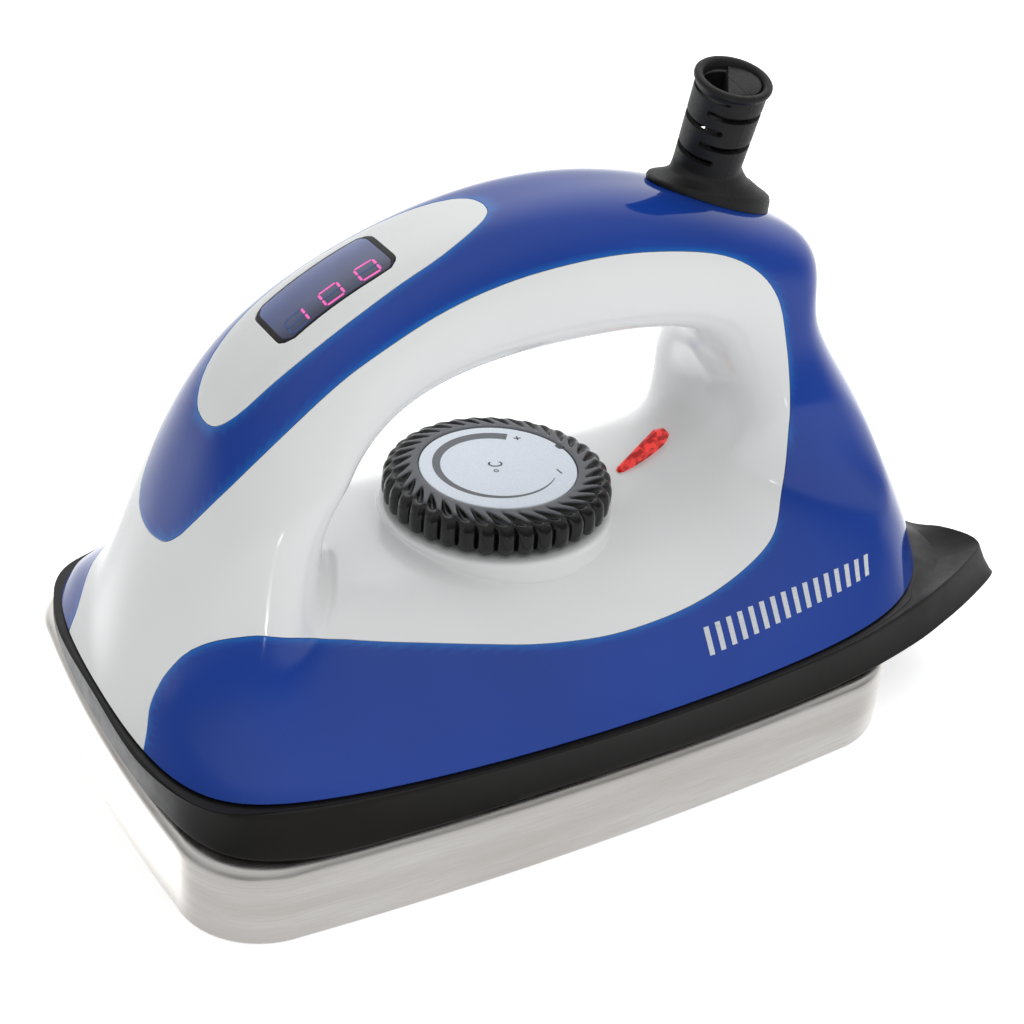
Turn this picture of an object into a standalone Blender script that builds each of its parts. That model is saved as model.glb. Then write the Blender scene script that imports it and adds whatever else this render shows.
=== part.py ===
"""Waxing iron for skis and snowboards: a thick aluminium sole plate under a two-shell plastic body.

Frame: metres, +Z up. The origin is the centre of the sole plate's underside. The nose points to -X,
the heel with the two horns to +X, and the finger opening runs across the body along Y.
The temperature knob turns about a vertical axis through KNOB_X.
"""
import math

import bmesh
import bpy
from mathutils import Matrix, Vector

MM = 0.001

# ---- driving dimensions, millimetres -----------------------------------------------------------
GAP = 0.3                      # clearance between neighbouring pieces
PLATE_LENGTH = 160.0
PLATE_WIDTH = 108.0
PLATE_HEIGHT = 17.2
PLATE_CORNER = 19.0
PLATE_RIM = 5.0                # width of the raised rim round the heater tray
TRAY_FLOOR = 12.0              # height of the tray floor inside the plate
BODY_FOOT = 25.9               # height of the body shells' lower edge
WALL = 2.2                     # wall of the body shells
SKIRT_FOOT = 17.6              # height of the black skirt's lower edge
KNOB_X = 4.4
KNOB_RADIUS = 23.0
KNOB_FOOT = 47.4
KNOB_TOP = 54.1
KNOB_LOBES = 36
DIAL_RADIUS = 15.8
BOSS_RADIUS = 24.4
BOSS_TOP = 46.3
POST_X = 52.0                  # the four posts that carry the body on the plate
POST_Y = 32.0
STANDOFF_TOP = 21.2
SHIELD_FOOT = 19.6             # heat shield
SHIELD_TOP = 20.4
SHEET_FOOT = 21.5              # insulation sheet
SHEET_TOP = 23.5
BOARD_FOOT = 26.2              # control board
BOARD_THICKNESS = 1.6
BOSS_FOOT = 41.5
DISPLAY_CENTRE = (-33.5, 98.0)  # x and z of the display frame's origin on the ridge
DISPLAY_TILT = math.radians(30.0)
FOOT_PLACE = (47.0, 0.0, 103.6)  # where the axis of the sleeve's foot meets the handle
FOOT_LEAN = math.radians(17.0)   # how far the foot leans back, towards the heel
TUBE_PLACE = (46.4, 0.0, 112.7)  # where the sleeve's tube rises from its foot
TUBE_LEAN = math.radians(14.5)   # how far the tube leans sideways, towards -Y
TUBE_RISE = 18.4                 # length of the tube from its foot to the lip

# Ribs of the body, going up the nose, along the handle, down the heel and back along the side.
# kind of section (0 handle, 1 corner, 2 foot), inner x and z on the finger opening,
# outer x, half width and z on the ridge or the foot, and how far the rib bulges sideways.
RIBS = [
    (1.0, -36.0, 50.0, -79.4, 0.0, 26.0, 35.0),
    (0.8, -38.5, 57.0, -74.3, 0.0, 39.0, 32.0),
    (0.5, -38.0, 65.0, -68.0, 0.0, 54.0, 27.5),
    (0.2, -34.0, 73.0, -61.8, 0.0, 70.0, 22.0),
    (0.0, -27.0, 78.5, -53.6, 0.0, 86.4, 18.0),
    (0.0, -17.0, 82.0, -37.8, 0.0, 99.6, 15.8),
    (0.0, -3.0, 84.3, -13.5, 0.0, 109.8, 15.5),
    (0.0, 12.0, 85.0, 12.0, 0.0, 113.4, 16.0),
    (0.0, 27.0, 85.0, 36.0, 0.0, 110.0, 16.5),
    (0.0, 39.0, 83.0, 57.6, 0.0, 102.5, 16.5),
    (0.0, 46.0, 78.5, 72.2, 0.0, 96.0, 16.5),
    (0.2, 50.0, 72.0, 68.2, 0.0, 83.0, 18.0),
    (0.5, 50.0, 66.5, 85.4, 0.0, 62.5, 24.0),
    (0.8, 48.5, 61.5, 95.2, 0.0, 43.5, 30.0),
    (1.0, 46.5, 57.5, 104.4, 0.0, 26.0, 33.0),
    (1.35, 43.5, 53.5, 102.5, 17.0, 26.0, 21.0),
    (1.65, 39.5, 50.0, 94.5, 31.0, 26.0, 12.0),
    (1.85, 33.5, 47.0, 81.0, 42.0, 26.0, 5.0),
    (2.0, 25.0, 45.5, 62.0, 47.5, 26.0, 1.5),
    (2.0, 16.0, 45.3, 38.0, 50.3, 26.0, 0.0),
    (2.0, 6.0, 45.3, 12.0, 51.6, 26.0, 0.0),
    (2.0, -5.0, 45.3, -14.0, 51.3, 26.0, 0.0),
    (2.0, -15.0, 45.3, -38.0, 49.6, 26.0, 1.0),
    (1.9, -23.0, 45.5, -59.0, 46.2, 26.0, 4.0),
    (1.7, -29.0, 46.3, -73.0, 40.0, 26.0, 9.0),
    (1.35, -33.5, 48.0, -78.6, 24.5, 26.0, 20.0),
]
# For each kind of section: how far along x, how far along z, and the share of the bulge,
# at seven steps from the finger opening to the ridge or the foot.
SECTIONS = [
    ([0, -.01, .15, .5, .85, 1.01, 1], [0, -.01, .15, .5, .85, 1.01, 1], [0, .62, 1.04, 1.12, .95, .5, 0]),
    ([0, .08, .23, .48, .73, .91, 1], [0, 0, .06, .23, .46, .75, 1], [0, .49, .9, 1.0, .82, .42, 0]),
    ([0, .12, .33, .54, .73, .89, 1], [0, .01, .1, .32, .57, .8, 1], [0, .49, .9, 1.0, .82, .42, 0]),
]
FOOT_SHARE = [0, .2, .42, .6, .76, .9, 1]

# Seen from the side (x, z): the edge between the coloured shell and the white one.
COLOUR_EDGE = [
    (-66.2, 53.5), (-64.4, 58.6), (-61.8, 64.5), (-56.6, 73.3), (-50.0, 80.8), (-42.5, 87.3),
    (-33.0, 92.6), (-19.6, 98.6), (-7.8, 102.0), (5.0, 103.8), (17.0, 104.1), (28.0, 103.2),
    (39.0, 100.7), (48.0, 96.6), (53.6, 90.8), (56.6, 84.0), (58.2, 76.0), (58.5, 66.0),
    (58.3, 55.0), (57.0, 46.5), (54.0, 42.0), (48.5, 39.2), (40.0, 37.2), (29.0, 36.0),
    (16.0, 35.4), (2.0, 36.0), (-12.0, 37.4), (-27.0, 39.8), (-41.0, 43.6), (-53.0, 47.6),
    (-61.0, 48.6), (-67.0, 45.6), (-71.4, 39.4), (-74.6, 33.0), (-76.6, 28.0), (-77.6, 24.0),
]
# Half outline of the display cover in its own plane: distance along the ridge, half width.
LEAF = [
    (-31.0, 0.0), (-30.0, 4.6), (-26.0, 8.3), (-20.0, 10.2), (-11.0, 11.3), (0.0, 11.3),
    (10.0, 10.6), (19.0, 9.6), (27.0, 7.4), (31.4, 4.2), (32.6, 0.0),
]
WINDOW_LENGTH = 25.6
WINDOW_WIDTH = 13.6
WINDOW_CORNER = 2.2

HEEL_STARTS = 75.0             # behind this x the skirt is a solid ledge that closes the heel from below
HEEL_INNER = 77.0              # the ledge's front end, over the plate's rear edge

LEDGE_TOP = 22.9
LIP_HEIGHT = 0.6

# Skirt, half of it from the heel to the nose: lower edge (x, y, z) and upper edge (x, y, z).
SKIRT = [
    (108.6, 0.0, 18.6, 107.0, 0.0, 21.8),
    (109.4, 13.0, 18.6, 107.6, 13.0, 22.8),
    (111.6, 23.0, 18.8, 109.6, 22.0, 26.0),
    (113.6, 30.4, 19.2, 111.0, 28.6, 27.4),
    (114.4, 33.8, 19.5, 110.6, 32.4, 27.6),
    (112.6, 36.0, 19.4, 108.0, 34.4, 27.4),
    (103.6, 39.9, 18.8, 99.8, 38.2, 26.9),
    (93.6, 43.4, 18.2, 90.4, 41.6, 26.3),
    (81.0, 47.0, SKIRT_FOOT, 81.4, 44.2, 25.6),
    (62.0, 50.8, SKIRT_FOOT, 62.2, 48.5, 25.4),
    (38.0, 53.2, SKIRT_FOOT, 38.0, 51.3, 25.4),
    (12.0, 54.0, SKIRT_FOOT, 12.0, 52.6, 25.4),
    (-14.0, 54.0, SKIRT_FOOT, -14.0, 52.3, 25.4),
    (-38.0, 53.4, SKIRT_FOOT, -38.4, 50.6, 25.4),
    (-60.0, 51.2, SKIRT_FOOT, -59.6, 47.2, 25.3),
    (-73.0, 43.4, SKIRT_FOOT, -72.8, 40.2, 25.2),
    (-78.3, 26.4, SKIRT_FOOT, -79.3, 24.2, 25.2),
    (-79.8, 0.0, SKIRT_FOOT, -80.1, 0.0, 25.2),
]


# ---- small tools -------------------------------------------------------------------------------
def clear_scene():
    for obj in list(bpy.data.objects):
        bpy.data.objects.remove(obj, do_unlink=True)


def new_collection(name):
    collection = bpy.data.collections.new(name)
    bpy.context.scene.collection.children.link(collection)
    return collection


def mix(a, b, t):
    return a + (b - a) * t


def material(name, colour, roughness, metallic=0.0):
    found = bpy.data.materials.get(name)
    if found:
        return found
    made = bpy.data.materials.new(name)
    made.use_nodes = True
    shader = made.node_tree.nodes["Principled BSDF"]
    shader.inputs["Base Color"].default_value = (*colour, 1.0)
    shader.inputs["Roughness"].default_value = roughness
    shader.inputs["Metallic"].default_value = metallic
    return made


BLUE = ("blue_gloss", (0.01, 0.035, 0.38), 0.15)
WHITE = ("white_gloss", (0.82, 0.84, 0.84), 0.18)
BLACK = ("black_plastic", (0.02, 0.019, 0.018), 0.45)
RUBBER = ("black_rubber", (0.02, 0.02, 0.02), 0.6)
ALUMINIUM = ("aluminium", (0.72, 0.71, 0.69), 0.35, 1.0)
STEEL = ("steel", (0.55, 0.55, 0.55), 0.35, 1.0)
BRASS = ("brass", (0.72, 0.52, 0.22), 0.35, 1.0)
BOARD = ("circuit_board", (0.03, 0.16, 0.06), 0.5)
RED = ("red_lens", (0.8, 0.02, 0.01), 0.1)
SMOKED = ("smoked_window", (0.01, 0.01, 0.03), 0.05)
SILVER = ("dial_silver", (0.45, 0.48, 0.52), 0.35)
MICA = ("insulation", (0.35, 0.28, 0.2), 0.8)
DARK = ("component_black", (0.03, 0.03, 0.03), 0.5)


def add_object(name, mesh, look, collection):
    obj = bpy.data.objects.new(name, mesh)
    collection.objects.link(obj)
    if look:
        mesh.materials.append(material(*look))
    return obj


def finish_mesh(bm, name):
    bmesh.ops.recalc_face_normals(bm, faces=bm.faces)
    mesh = bpy.data.meshes.new(name)
    bm.to_mesh(mesh)
    bm.free()
    mesh.shade_smooth()
    mesh.set_sharp_from_angle(angle=math.radians(35))
    return mesh


def chamfer(obj, width, angle):
    modifier = obj.modifiers.new("chamfered", "BEVEL")
    modifier.width = width * MM
    modifier.segments = 1
    modifier.limit_method = "ANGLE"
    modifier.angle_limit = math.radians(angle)


def boolean(obj, other, operation):
    modifier = obj.modifiers.new(operation.lower(), "BOOLEAN")
    modifier.operation = operation
    modifier.object = other
    modifier.solver = "EXACT"


def mark_cutter(obj):
    obj.hide_render = True
    obj.display_type = "WIRE"
    return obj


def box(name, size, centre, look, collection, tilt=0.0):
    """A box of size (x, y, z) mm, turned by tilt about the Y axis through its centre."""
    bm = bmesh.new()
    bmesh.ops.create_cube(bm, size=1.0)
    bmesh.ops.scale(bm, vec=Vector(size) * MM, verts=bm.verts)
    obj = add_object(name, finish_mesh(bm, name), look, collection)
    obj.location = Vector(centre) * MM
    obj.rotation_euler = (0.0, -tilt, 0.0)
    return obj


def cylinder(name, radius, low, high, centre, look, collection, sides=20):
    """An upright cylinder from z = low to z = high at centre (x, y)."""
    bm = bmesh.new()
    bmesh.ops.create_cone(bm, cap_ends=True, segments=sides, radius1=radius * MM,
                          radius2=radius * MM, depth=(high - low) * MM)
    obj = add_object(name, finish_mesh(bm, name), look, collection)
    obj.location = Vector((centre[0], centre[1], (low + high) / 2)) * MM
    return obj


def turned(name, profile, centre, look, collection, sides=24):
    """A closed ring turned about the vertical axis: profile (radius, z), outer side top to bottom."""
    bm = bmesh.new()
    points = [bm.verts.new((r * MM, 0.0, z * MM)) for r, z in profile]
    for first, second in zip(points, points[1:] + points[:1]):
        if first.co.x > 0 or second.co.x > 0:
            bm.edges.new((first, second))
    mesh = bpy.data.meshes.new(name)
    bm.to_mesh(mesh)
    bm.free()
    obj = add_object(name, mesh, look, collection)
    screw = obj.modifiers.new("turn", "SCREW")
    screw.steps = sides
    screw.render_steps = sides
    screw.use_merge_vertices = True
    screw.merge_threshold = 0.00001
    screw.use_smooth_shade = True
    obj.location = Vector((centre[0], centre[1], 0.0)) * MM
    return obj


def tube(name, points, radius, look, collection, resolution=1):
    """A wire or rod along a list of points, mm."""
    data = bpy.data.curves.new(name, "CURVE")
    data.dimensions = "3D"
    data.bevel_depth = radius * MM
    data.bevel_resolution = resolution
    data.use_fill_caps = True
    line = data.splines.new("POLY")
    line.points.add(len(points) - 1)
    for slot, point in zip(line.points, points):
        slot.co = (*(Vector(point) * MM), 1.0)
    obj = bpy.data.objects.new(name, data)
    collection.objects.link(obj)
    data.materials.append(material(*look))
    return obj


def smooth_route(knots, steps):
    """Points on a Catmull-Rom curve through the knots, so that a wire has no kinks."""
    knots = [Vector(k) for k in knots]
    padded = [knots[0] * 2 - knots[1]] + knots + [knots[-1] * 2 - knots[-2]]
    points = []
    for i in range(1, len(padded) - 2):
        a, b, c, d = padded[i - 1:i + 3]
        for s in range(steps):
            t = s / steps
            points.append(0.5 * (2 * b + (c - a) * t + (2 * a - 5 * b + 4 * c - d) * t * t
                                 + (3 * b - a - 3 * c + d) * t ** 3))
    points.append(knots[-1])
    return points


def closed_route(knots, steps):
    """The same for a closed outline of 2D or 3D points."""
    count = len(knots)
    points = []
    for i in range(count):
        a, b, c, d = (Vector(knots[(i + k) % count]) for k in (-1, 0, 1, 2))
        for s in range(steps):
            t = s / steps
            points.append(0.5 * (2 * b + (c - a) * t + (2 * a - 5 * b + 4 * c - d) * t * t
                                 + (3 * b - a - 3 * c + d) * t ** 3))
    return points


def prism(name, outline, near, far, collection, look=None, place=None):
    """A solid with a flat outline (u, v) mm, from depth near to depth far. place maps (u, v, w) to xyz."""
    bm = bmesh.new()
    rings = []
    for depth in (near, far):
        rings.append([bm.verts.new(Vector(place(u, v, depth)) * MM) for u, v in outline])
    count = len(outline)
    for i in range(count):
        j = (i + 1) % count
        bm.faces.new((rings[0][i], rings[0][j], rings[1][j], rings[1][i]))
    bm.faces.new(rings[0][::-1])
    bm.faces.new(rings[1])
    return add_object(name, finish_mesh(bm, name), look, collection)


def upright(x, y, z):
    return (x, y, z)


def sideways(x, z, y):
    return (x, y, z)


def on_ridge(along, across, out):
    """Display frame: along the ridge, across it, and out of it."""
    c, s = math.cos(DISPLAY_TILT), math.sin(DISPLAY_TILT)
    return (DISPLAY_CENTRE[0] + along * c - out * s, across, DISPLAY_CENTRE[1] + along * s + out * c)


def rounded_rectangle(length, width, corner, steps):
    """Outline of a rectangle with round corners, anticlockwise."""
    outline = []
    for quarter, (sx, sy) in enumerate(((1, 1), (-1, 1), (-1, -1), (1, -1))):
        for step in range(steps + 1):
            angle = math.pi / 2 * (quarter + step / steps)
            x = sx * (length / 2 - corner) + corner * math.cos(angle)
            y = sy * (width / 2 - corner) + corner * math.sin(angle)
            outline.append((x, y))
    return outline


def grow(outline, distance):
    """Moves a closed outline, given anticlockwise, outwards by a distance."""
    grown = []
    count = len(outline)
    for i, point in enumerate(outline):
        before = Vector(outline[i - 1])
        after = Vector(outline[(i + 1) % count])
        run = (after - before).normalized()
        grown.append((point[0] + run[1] * distance, point[1] - run[0] * distance))
    return grown


# ---- sole plate and what stands on it ----------------------------------------------------------
def plate_outline(inset=0.0):
    return rounded_rectangle(PLATE_LENGTH - 2 * inset, PLATE_WIDTH - 2 * inset, PLATE_CORNER - inset, 7)


def make_sole_plate(parts, cutters):
    plate = prism("sole_plate", plate_outline(), 0.0, PLATE_HEIGHT, parts, ALUMINIUM, upright)
    above_plate = PLATE_HEIGHT + 5.0
    tray = prism("tray_cut", plate_outline(PLATE_RIM), TRAY_FLOOR, above_plate, cutters, None, upright)
    boolean(plate, mark_cutter(tray), "DIFFERENCE")
    for number, (x, y) in enumerate(post_places(), 1):
        hole = cylinder(f"thread_cut_{number}", 1.9, 4.0, 20.0, (x, y), None, cutters, 10)
        boolean(plate, mark_cutter(hole), "DIFFERENCE")
    chamfer(plate, 1.6, 60.0)


def post_places():
    return [(x, y) for x in (-POST_X, POST_X) for y in (-POST_Y, POST_Y)]


def make_heater(parts):
    """A sheathed heating rod bent to a long loop on the tray floor, with its two cold ends standing up."""
    rod_radius = 3.2
    z = TRAY_FLOOR + rod_radius + GAP
    end = (62.0, 9.0, z + 6.0)
    half = [end, (60, 12, z + 1.5), (54, 19, z), (30, 23, z), (-20, 24, z), (-46, 22, z), (-60, 12, z)]
    loop = [(x, -y, height) for x, y, height in half] + [(-64, 0, z)] + half[::-1]
    tube("heating_element", smooth_route(loop, 3), rod_radius, STEEL, parts, 2)
    tab_length = 6.4
    for name, side in (("element_terminal_live", -1), ("element_terminal_neutral", 1)):
        centre = (end[0] + 1.0, side * end[1], end[2] + tab_length / 2 + 2.4)
        box(name, (5.0, 1.0, tab_length), centre, BRASS, parts)


def make_posts(parts):
    """Standoffs on the tray floor, and pan-head screws down through them into the plate."""
    outside, bore, foot = 4.2, 2.2, TRAY_FLOOR + GAP
    head, shank, head_height, tip = 3.6, 1.6, 2.4, 5.0
    under_head = SHEET_TOP + GAP
    top = under_head + head_height
    for number, place in enumerate(post_places(), 1):
        turned(f"standoff_{number}", [(outside, STANDOFF_TOP), (outside, foot), (bore, foot), (bore, STANDOFF_TOP)],
               place, STEEL, parts, 16)
        turned(f"plate_screw_{number}",
               [(0.0, top), (head * 0.7, top), (head, top - 1.0), (head, under_head), (shank, under_head),
                (shank, tip), (0.0, tip)], place, STEEL, parts, 12)


def make_sheets(parts, cutters):
    """An aluminium heat shield low over the heater, and the insulating sheet that carries the electronics."""
    shield_outline = rounded_rectangle(104.0, 40.0, 6.0, 2)
    prism("heat_shield", shield_outline, SHIELD_FOOT, SHIELD_TOP, parts, ALUMINIUM, upright)
    sheet_outline = rounded_rectangle(134.6, 83.2, 13.9, 3)
    sheet = prism("insulation_sheet", sheet_outline, SHEET_FOOT, SHEET_TOP, parts, MICA, upright)
    screw_hole = 2.2
    for number, place in enumerate(post_places(), 1):
        hole = cylinder(f"sheet_cut_{number}", screw_hole, SHEET_FOOT - 5, SHEET_TOP + 5, place, None, cutters, 12)
        boolean(sheet, mark_cutter(hole), "DIFFERENCE")
    opening = box("terminal_cut", (14.0, 30.0, 30.0), (62.0, 0.0, SHEET_FOOT), None, cutters)
    boolean(sheet, mark_cutter(opening), "DIFFERENCE")


def make_sensors(parts):
    sensor_x, fuse_x, fuse_height, foot = -30.0, -4.0, 4.0, TRAY_FLOOR + GAP
    cylinder("temperature_sensor", 2.6, foot, SHIELD_FOOT - 1.0, (sensor_x, 0.0), STEEL, parts, 14)
    box("thermal_fuse", (12.0, 4.0, fuse_height), (fuse_x, 0.0, foot + fuse_height / 2), STEEL, parts)
    box("fuse_clip", (5.0, 9.0, 1.0), (fuse_x, 0.0, foot + fuse_height + 1.0), STEEL, parts)


# ---- black skirt with the heel horns -----------------------------------------------------------
def skirt_section(row):
    """Cross-section of the skirt at one place, from inside bottom round the outside to inside top."""
    low_x, low_y, low_z, top_x, top_y, top_z = row
    foot_x, foot_y = nearest_foot(top_x, top_y)
    foot = Vector((foot_x, foot_y))
    inward = -foot.normalized() if foot_y else Vector((-math.copysign(1, foot_x), 0))
    shelf_height = BODY_FOOT - GAP
    shelf_outer, shelf_inner, inner = foot - inward * 0.5, foot + inward * 2.8, foot + inward * 5.5
    low_inner = Vector((low_x, low_y)) + inward * 3.2
    if foot_x > HEEL_STARTS:
        inner[0] = min(inner[0], HEEL_INNER)
        low_inner = inner
    return [
        (*low_inner, low_z + LIP_HEIGHT), (low_x, low_y, low_z),
        (mix(low_x, top_x, 0.12), mix(low_y, top_y, 0.12), low_z + 1.4),
        (top_x, top_y, top_z), (*shelf_outer, shelf_height), (*shelf_inner, shelf_height),
        (*inner, LEDGE_TOP),
    ]


def nearest_foot(x, y):
    """The place on the body's foot outline that faces a place on the skirt."""
    outline = [(row[3], row[4]) for row in RIBS[14:] + RIBS[:1]]
    best = None
    for (ax, ay), (bx, by) in zip(outline, outline[1:]):
        run = Vector((bx - ax, by - ay))
        t = max(0.0, min(1.0, (Vector((x - ax, y - ay))).dot(run) / run.length_squared))
        spot = Vector((ax, ay)) + run * t
        distance = (spot - Vector((x, y))).length
        if best is None or distance < best[0]:
            best = (distance, spot)
    return best[1][0], (0.0 if y == 0 else best[1][1])


def make_skirt(parts):
    half = [skirt_section(row) for row in SKIRT]
    loop = [[(x, -y, z) for x, y, z in section] for section in half]
    loop += half[-2:0:-1]
    sides = len(half[0])
    rails = [closed_route([section[k] for section in loop], 2) for k in range(sides)]
    bm = bmesh.new()
    rings = [[bm.verts.new(rail[i] * MM) for rail in rails] for i in range(len(rails[0]))]
    for first, second in zip(rings, rings[1:] + rings[:1]):
        for k in range(sides):
            n = (k + 1) % sides
            bm.faces.new((first[k], second[k], second[n], first[n]))
    return add_object("base_skirt", finish_mesh(bm, "base_skirt"), BLACK, parts)


# ---- body shells -------------------------------------------------------------------------------
def rib_points(row):
    """Seven cage points of one rib, from the finger opening out to the ridge or the foot."""
    kind, inner_x, inner_z, outer_x, outer_y, outer_z, bulge = row
    first = min(int(kind), 1)
    share = kind - first
    points = []
    for step in range(7):
        run_x, run_z, side = (mix(SECTIONS[first][k][step], SECTIONS[first + 1][k][step], share) for k in range(3))
        y = -(bulge * side + outer_y * FOOT_SHARE[step])
        points.append(Vector((mix(inner_x, outer_x, run_x), y, mix(inner_z, outer_z, run_z))) * MM)
    return points


def body_shell(name, look, collection, rows=RIBS, wall_thickness=WALL, proud=0.0):
    """The whole body as one closed shell with an open foot: half a cage, mirrored, smoothed, thickened.

    A cutter may take only some of the ribs, stand proud of the surface and be thicker."""
    bm = bmesh.new()
    ribs = [[bm.verts.new(point) for point in rib_points(row)] for row in rows]
    last = ribs[:1] if rows is RIBS else []
    for first, second in zip(ribs, ribs[1:] + last):
        for k in range(6):
            bm.faces.new((first[k], second[k], second[k + 1], first[k + 1]))
    mesh = bpy.data.meshes.new(name)
    bm.to_mesh(mesh)
    bm.free()
    mesh.shade_smooth()
    obj = add_object(name, mesh, look, collection)
    mirror = obj.modifiers.new("mirror", "MIRROR")
    mirror.use_axis = (False, True, False)
    mirror.use_clip = True
    mirror.merge_threshold = 0.0001
    smooth = obj.modifiers.new("smooth", "SUBSURF")
    smooth.levels = 1
    smooth.render_levels = 1
    wall = obj.modifiers.new("wall", "SOLIDIFY")
    wall.thickness = (wall_thickness + proud) * MM
    wall.offset = 2 * proud / (wall_thickness + proud) - 1.0
    wall.use_even_offset = True
    return obj


def colour_outline():
    """Side view of everything the coloured shell covers: its edge, closed well outside the body."""
    below, above, before, behind = 10.0, 150.0, -90.0, 130.0
    first, last = COLOUR_EDGE[0], COLOUR_EDGE[-1]
    return COLOUR_EDGE + [(last[0], below), (behind, below), (behind, above), (before, above), (before, first[1])]


def leaf_outline(distance):
    half = smooth_route([(*p, 0.0) for p in LEAF], 2)
    outline = [(p[0], -p[1]) for p in half] + [(p[0], p[1]) for p in half[-2:0:-1]]
    return grow(outline, distance)


def make_body(parts, cutters):
    edge = colour_outline()
    foot_cut = mark_cutter(box("foot_cut", (300.0, 200.0, 20.0), (0.0, 0.0, BODY_FOOT - 10.0), None, cutters))
    coloured_zone = mark_cutter(prism("colour_zone", edge, -80.0, 80.0, cutters, None, sideways))
    white_zone = mark_cutter(prism("white_keepout", grow_side(edge, GAP), -80.0, 80.0, cutters, None, sideways))
    leaf_zone = mark_cutter(prism("leaf_zone", leaf_outline(0.0), -16.0, 30.0, cutters, None, on_ridge))
    leaf_cut = mark_cutter(prism("leaf_keepout", leaf_outline(GAP), -16.0, 30.0, cutters, None, on_ridge))
    window = rounded_rectangle(WINDOW_LENGTH, WINDOW_WIDTH, WINDOW_CORNER, 3)
    window_zone = mark_cutter(prism("window_zone", window, -15.0, 29.0, cutters, None, on_ridge))
    window_cut = mark_cutter(prism("window_keepout", grow(window, GAP), -15.0, 29.0, cutters, None, on_ridge))

    outer = body_shell("outer_housing", BLUE, parts)
    boolean(outer, coloured_zone, "INTERSECT")
    boolean(outer, foot_cut, "DIFFERENCE")
    boolean(outer, leaf_cut, "DIFFERENCE")
    sleeve_hole = mark_cutter(on_foot_axis("sleeve_cut", 5.2, -14.0, 14.0, cutters))
    boolean(outer, sleeve_hole, "DIFFERENCE")

    inner = body_shell("inner_housing", WHITE, parts)
    boolean(inner, white_zone, "DIFFERENCE")
    boolean(inner, foot_cut, "DIFFERENCE")
    boss = mark_cutter(cylinder("boss", BOSS_RADIUS, BOSS_FOOT, BOSS_TOP, (KNOB_X, 0), None, cutters, 40))
    boolean(inner, boss, "UNION")
    hollow = mark_cutter(cylinder("boss_hollow", BOSS_RADIUS - WALL, 30.0, BOSS_TOP - WALL, (KNOB_X, 0), None,
                                  cutters, 40))
    boolean(inner, hollow, "DIFFERENCE")
    bush = mark_cutter(cylinder("bush_cut", 4.0, 38.0, 60.0, (KNOB_X, 0), None, cutters, 20))
    boolean(inner, bush, "DIFFERENCE")
    slot = mark_cutter(lamp_solid("lamp_cut", None, cutters, GAP, 5.0))
    boolean(inner, slot, "DIFFERENCE")

    cover = body_shell("display_cover", WHITE, parts)
    boolean(cover, leaf_zone, "INTERSECT")
    boolean(cover, window_cut, "DIFFERENCE")
    window_pane = body_shell("display_window", SMOKED, parts)
    boolean(window_pane, window_zone, "INTERSECT")


def grow_side(edge, distance):
    """Moves the side-view outline so that the zone it encloses gets larger."""
    return grow(edge, -distance) if signed_area(edge) < 0 else grow(edge, distance)


def signed_area(outline):
    total = 0.0
    for (ax, ay), (bx, by) in zip(outline, outline[1:] + outline[:1]):
        total += ax * by - bx * ay
    return total / 2


# ---- electronics -------------------------------------------------------------------------------
def make_electronics(parts):
    board_x, post_along, post_across, post_radius = -16.0, 24.0, 19.0, 2.4
    box("control_board", (56.0, 46.0, BOARD_THICKNESS), (board_x, 0.0, BOARD_FOOT + BOARD_THICKNESS / 2), BOARD,
        parts)
    places = [(board_x + along, across) for along in (-post_along, post_along)
              for across in (-post_across, post_across)]
    for number, place in enumerate(places, 1):
        cylinder(f"board_post_{number}", post_radius, SHEET_TOP + GAP, BOARD_FOOT - GAP, place, BRASS, parts, 10)
    on_board = BOARD_FOOT + BOARD_THICKNESS + GAP
    triac_height, sink_height, block_height = 9.0, 11.0, 8.0
    box("triac", (4.0, 10.0, triac_height), (-38.0, 8.0, on_board + triac_height / 2), DARK, parts)
    box("heat_sink", (3.0, 16.0, sink_height), (-33.8, 8.0, on_board + sink_height / 2), ALUMINIUM, parts)
    cylinder("capacitor", 4.5, on_board, on_board + 9.9, (-28.0, -12.0), DARK, parts, 16)
    box("terminal_block", (10.0, 18.0, block_height), (40.0, 0.0, SHEET_TOP + 0.5 + block_height / 2), WHITE, parts)
    box("display_board", (33.0, 16.0, BOARD_THICKNESS), on_ridge(0.0, 0.0, -10.2), BOARD, parts, DISPLAY_TILT)
    box("led_module", (24.0, 12.0, 5.6), on_ridge(0.0, 0.0, -6.3), DARK, parts, DISPLAY_TILT)
    tube("display_ribbon", smooth_route([(-33.4, 0, 83.2), (-44.0, 0, 73.0), (-50.0, 0, 60.0), (-51.0, 0, 46.0),
                                         (-47.0, 0, 34.0), (-42.0, 0, 29.2)], 3), 1.0, DARK, parts)


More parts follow.
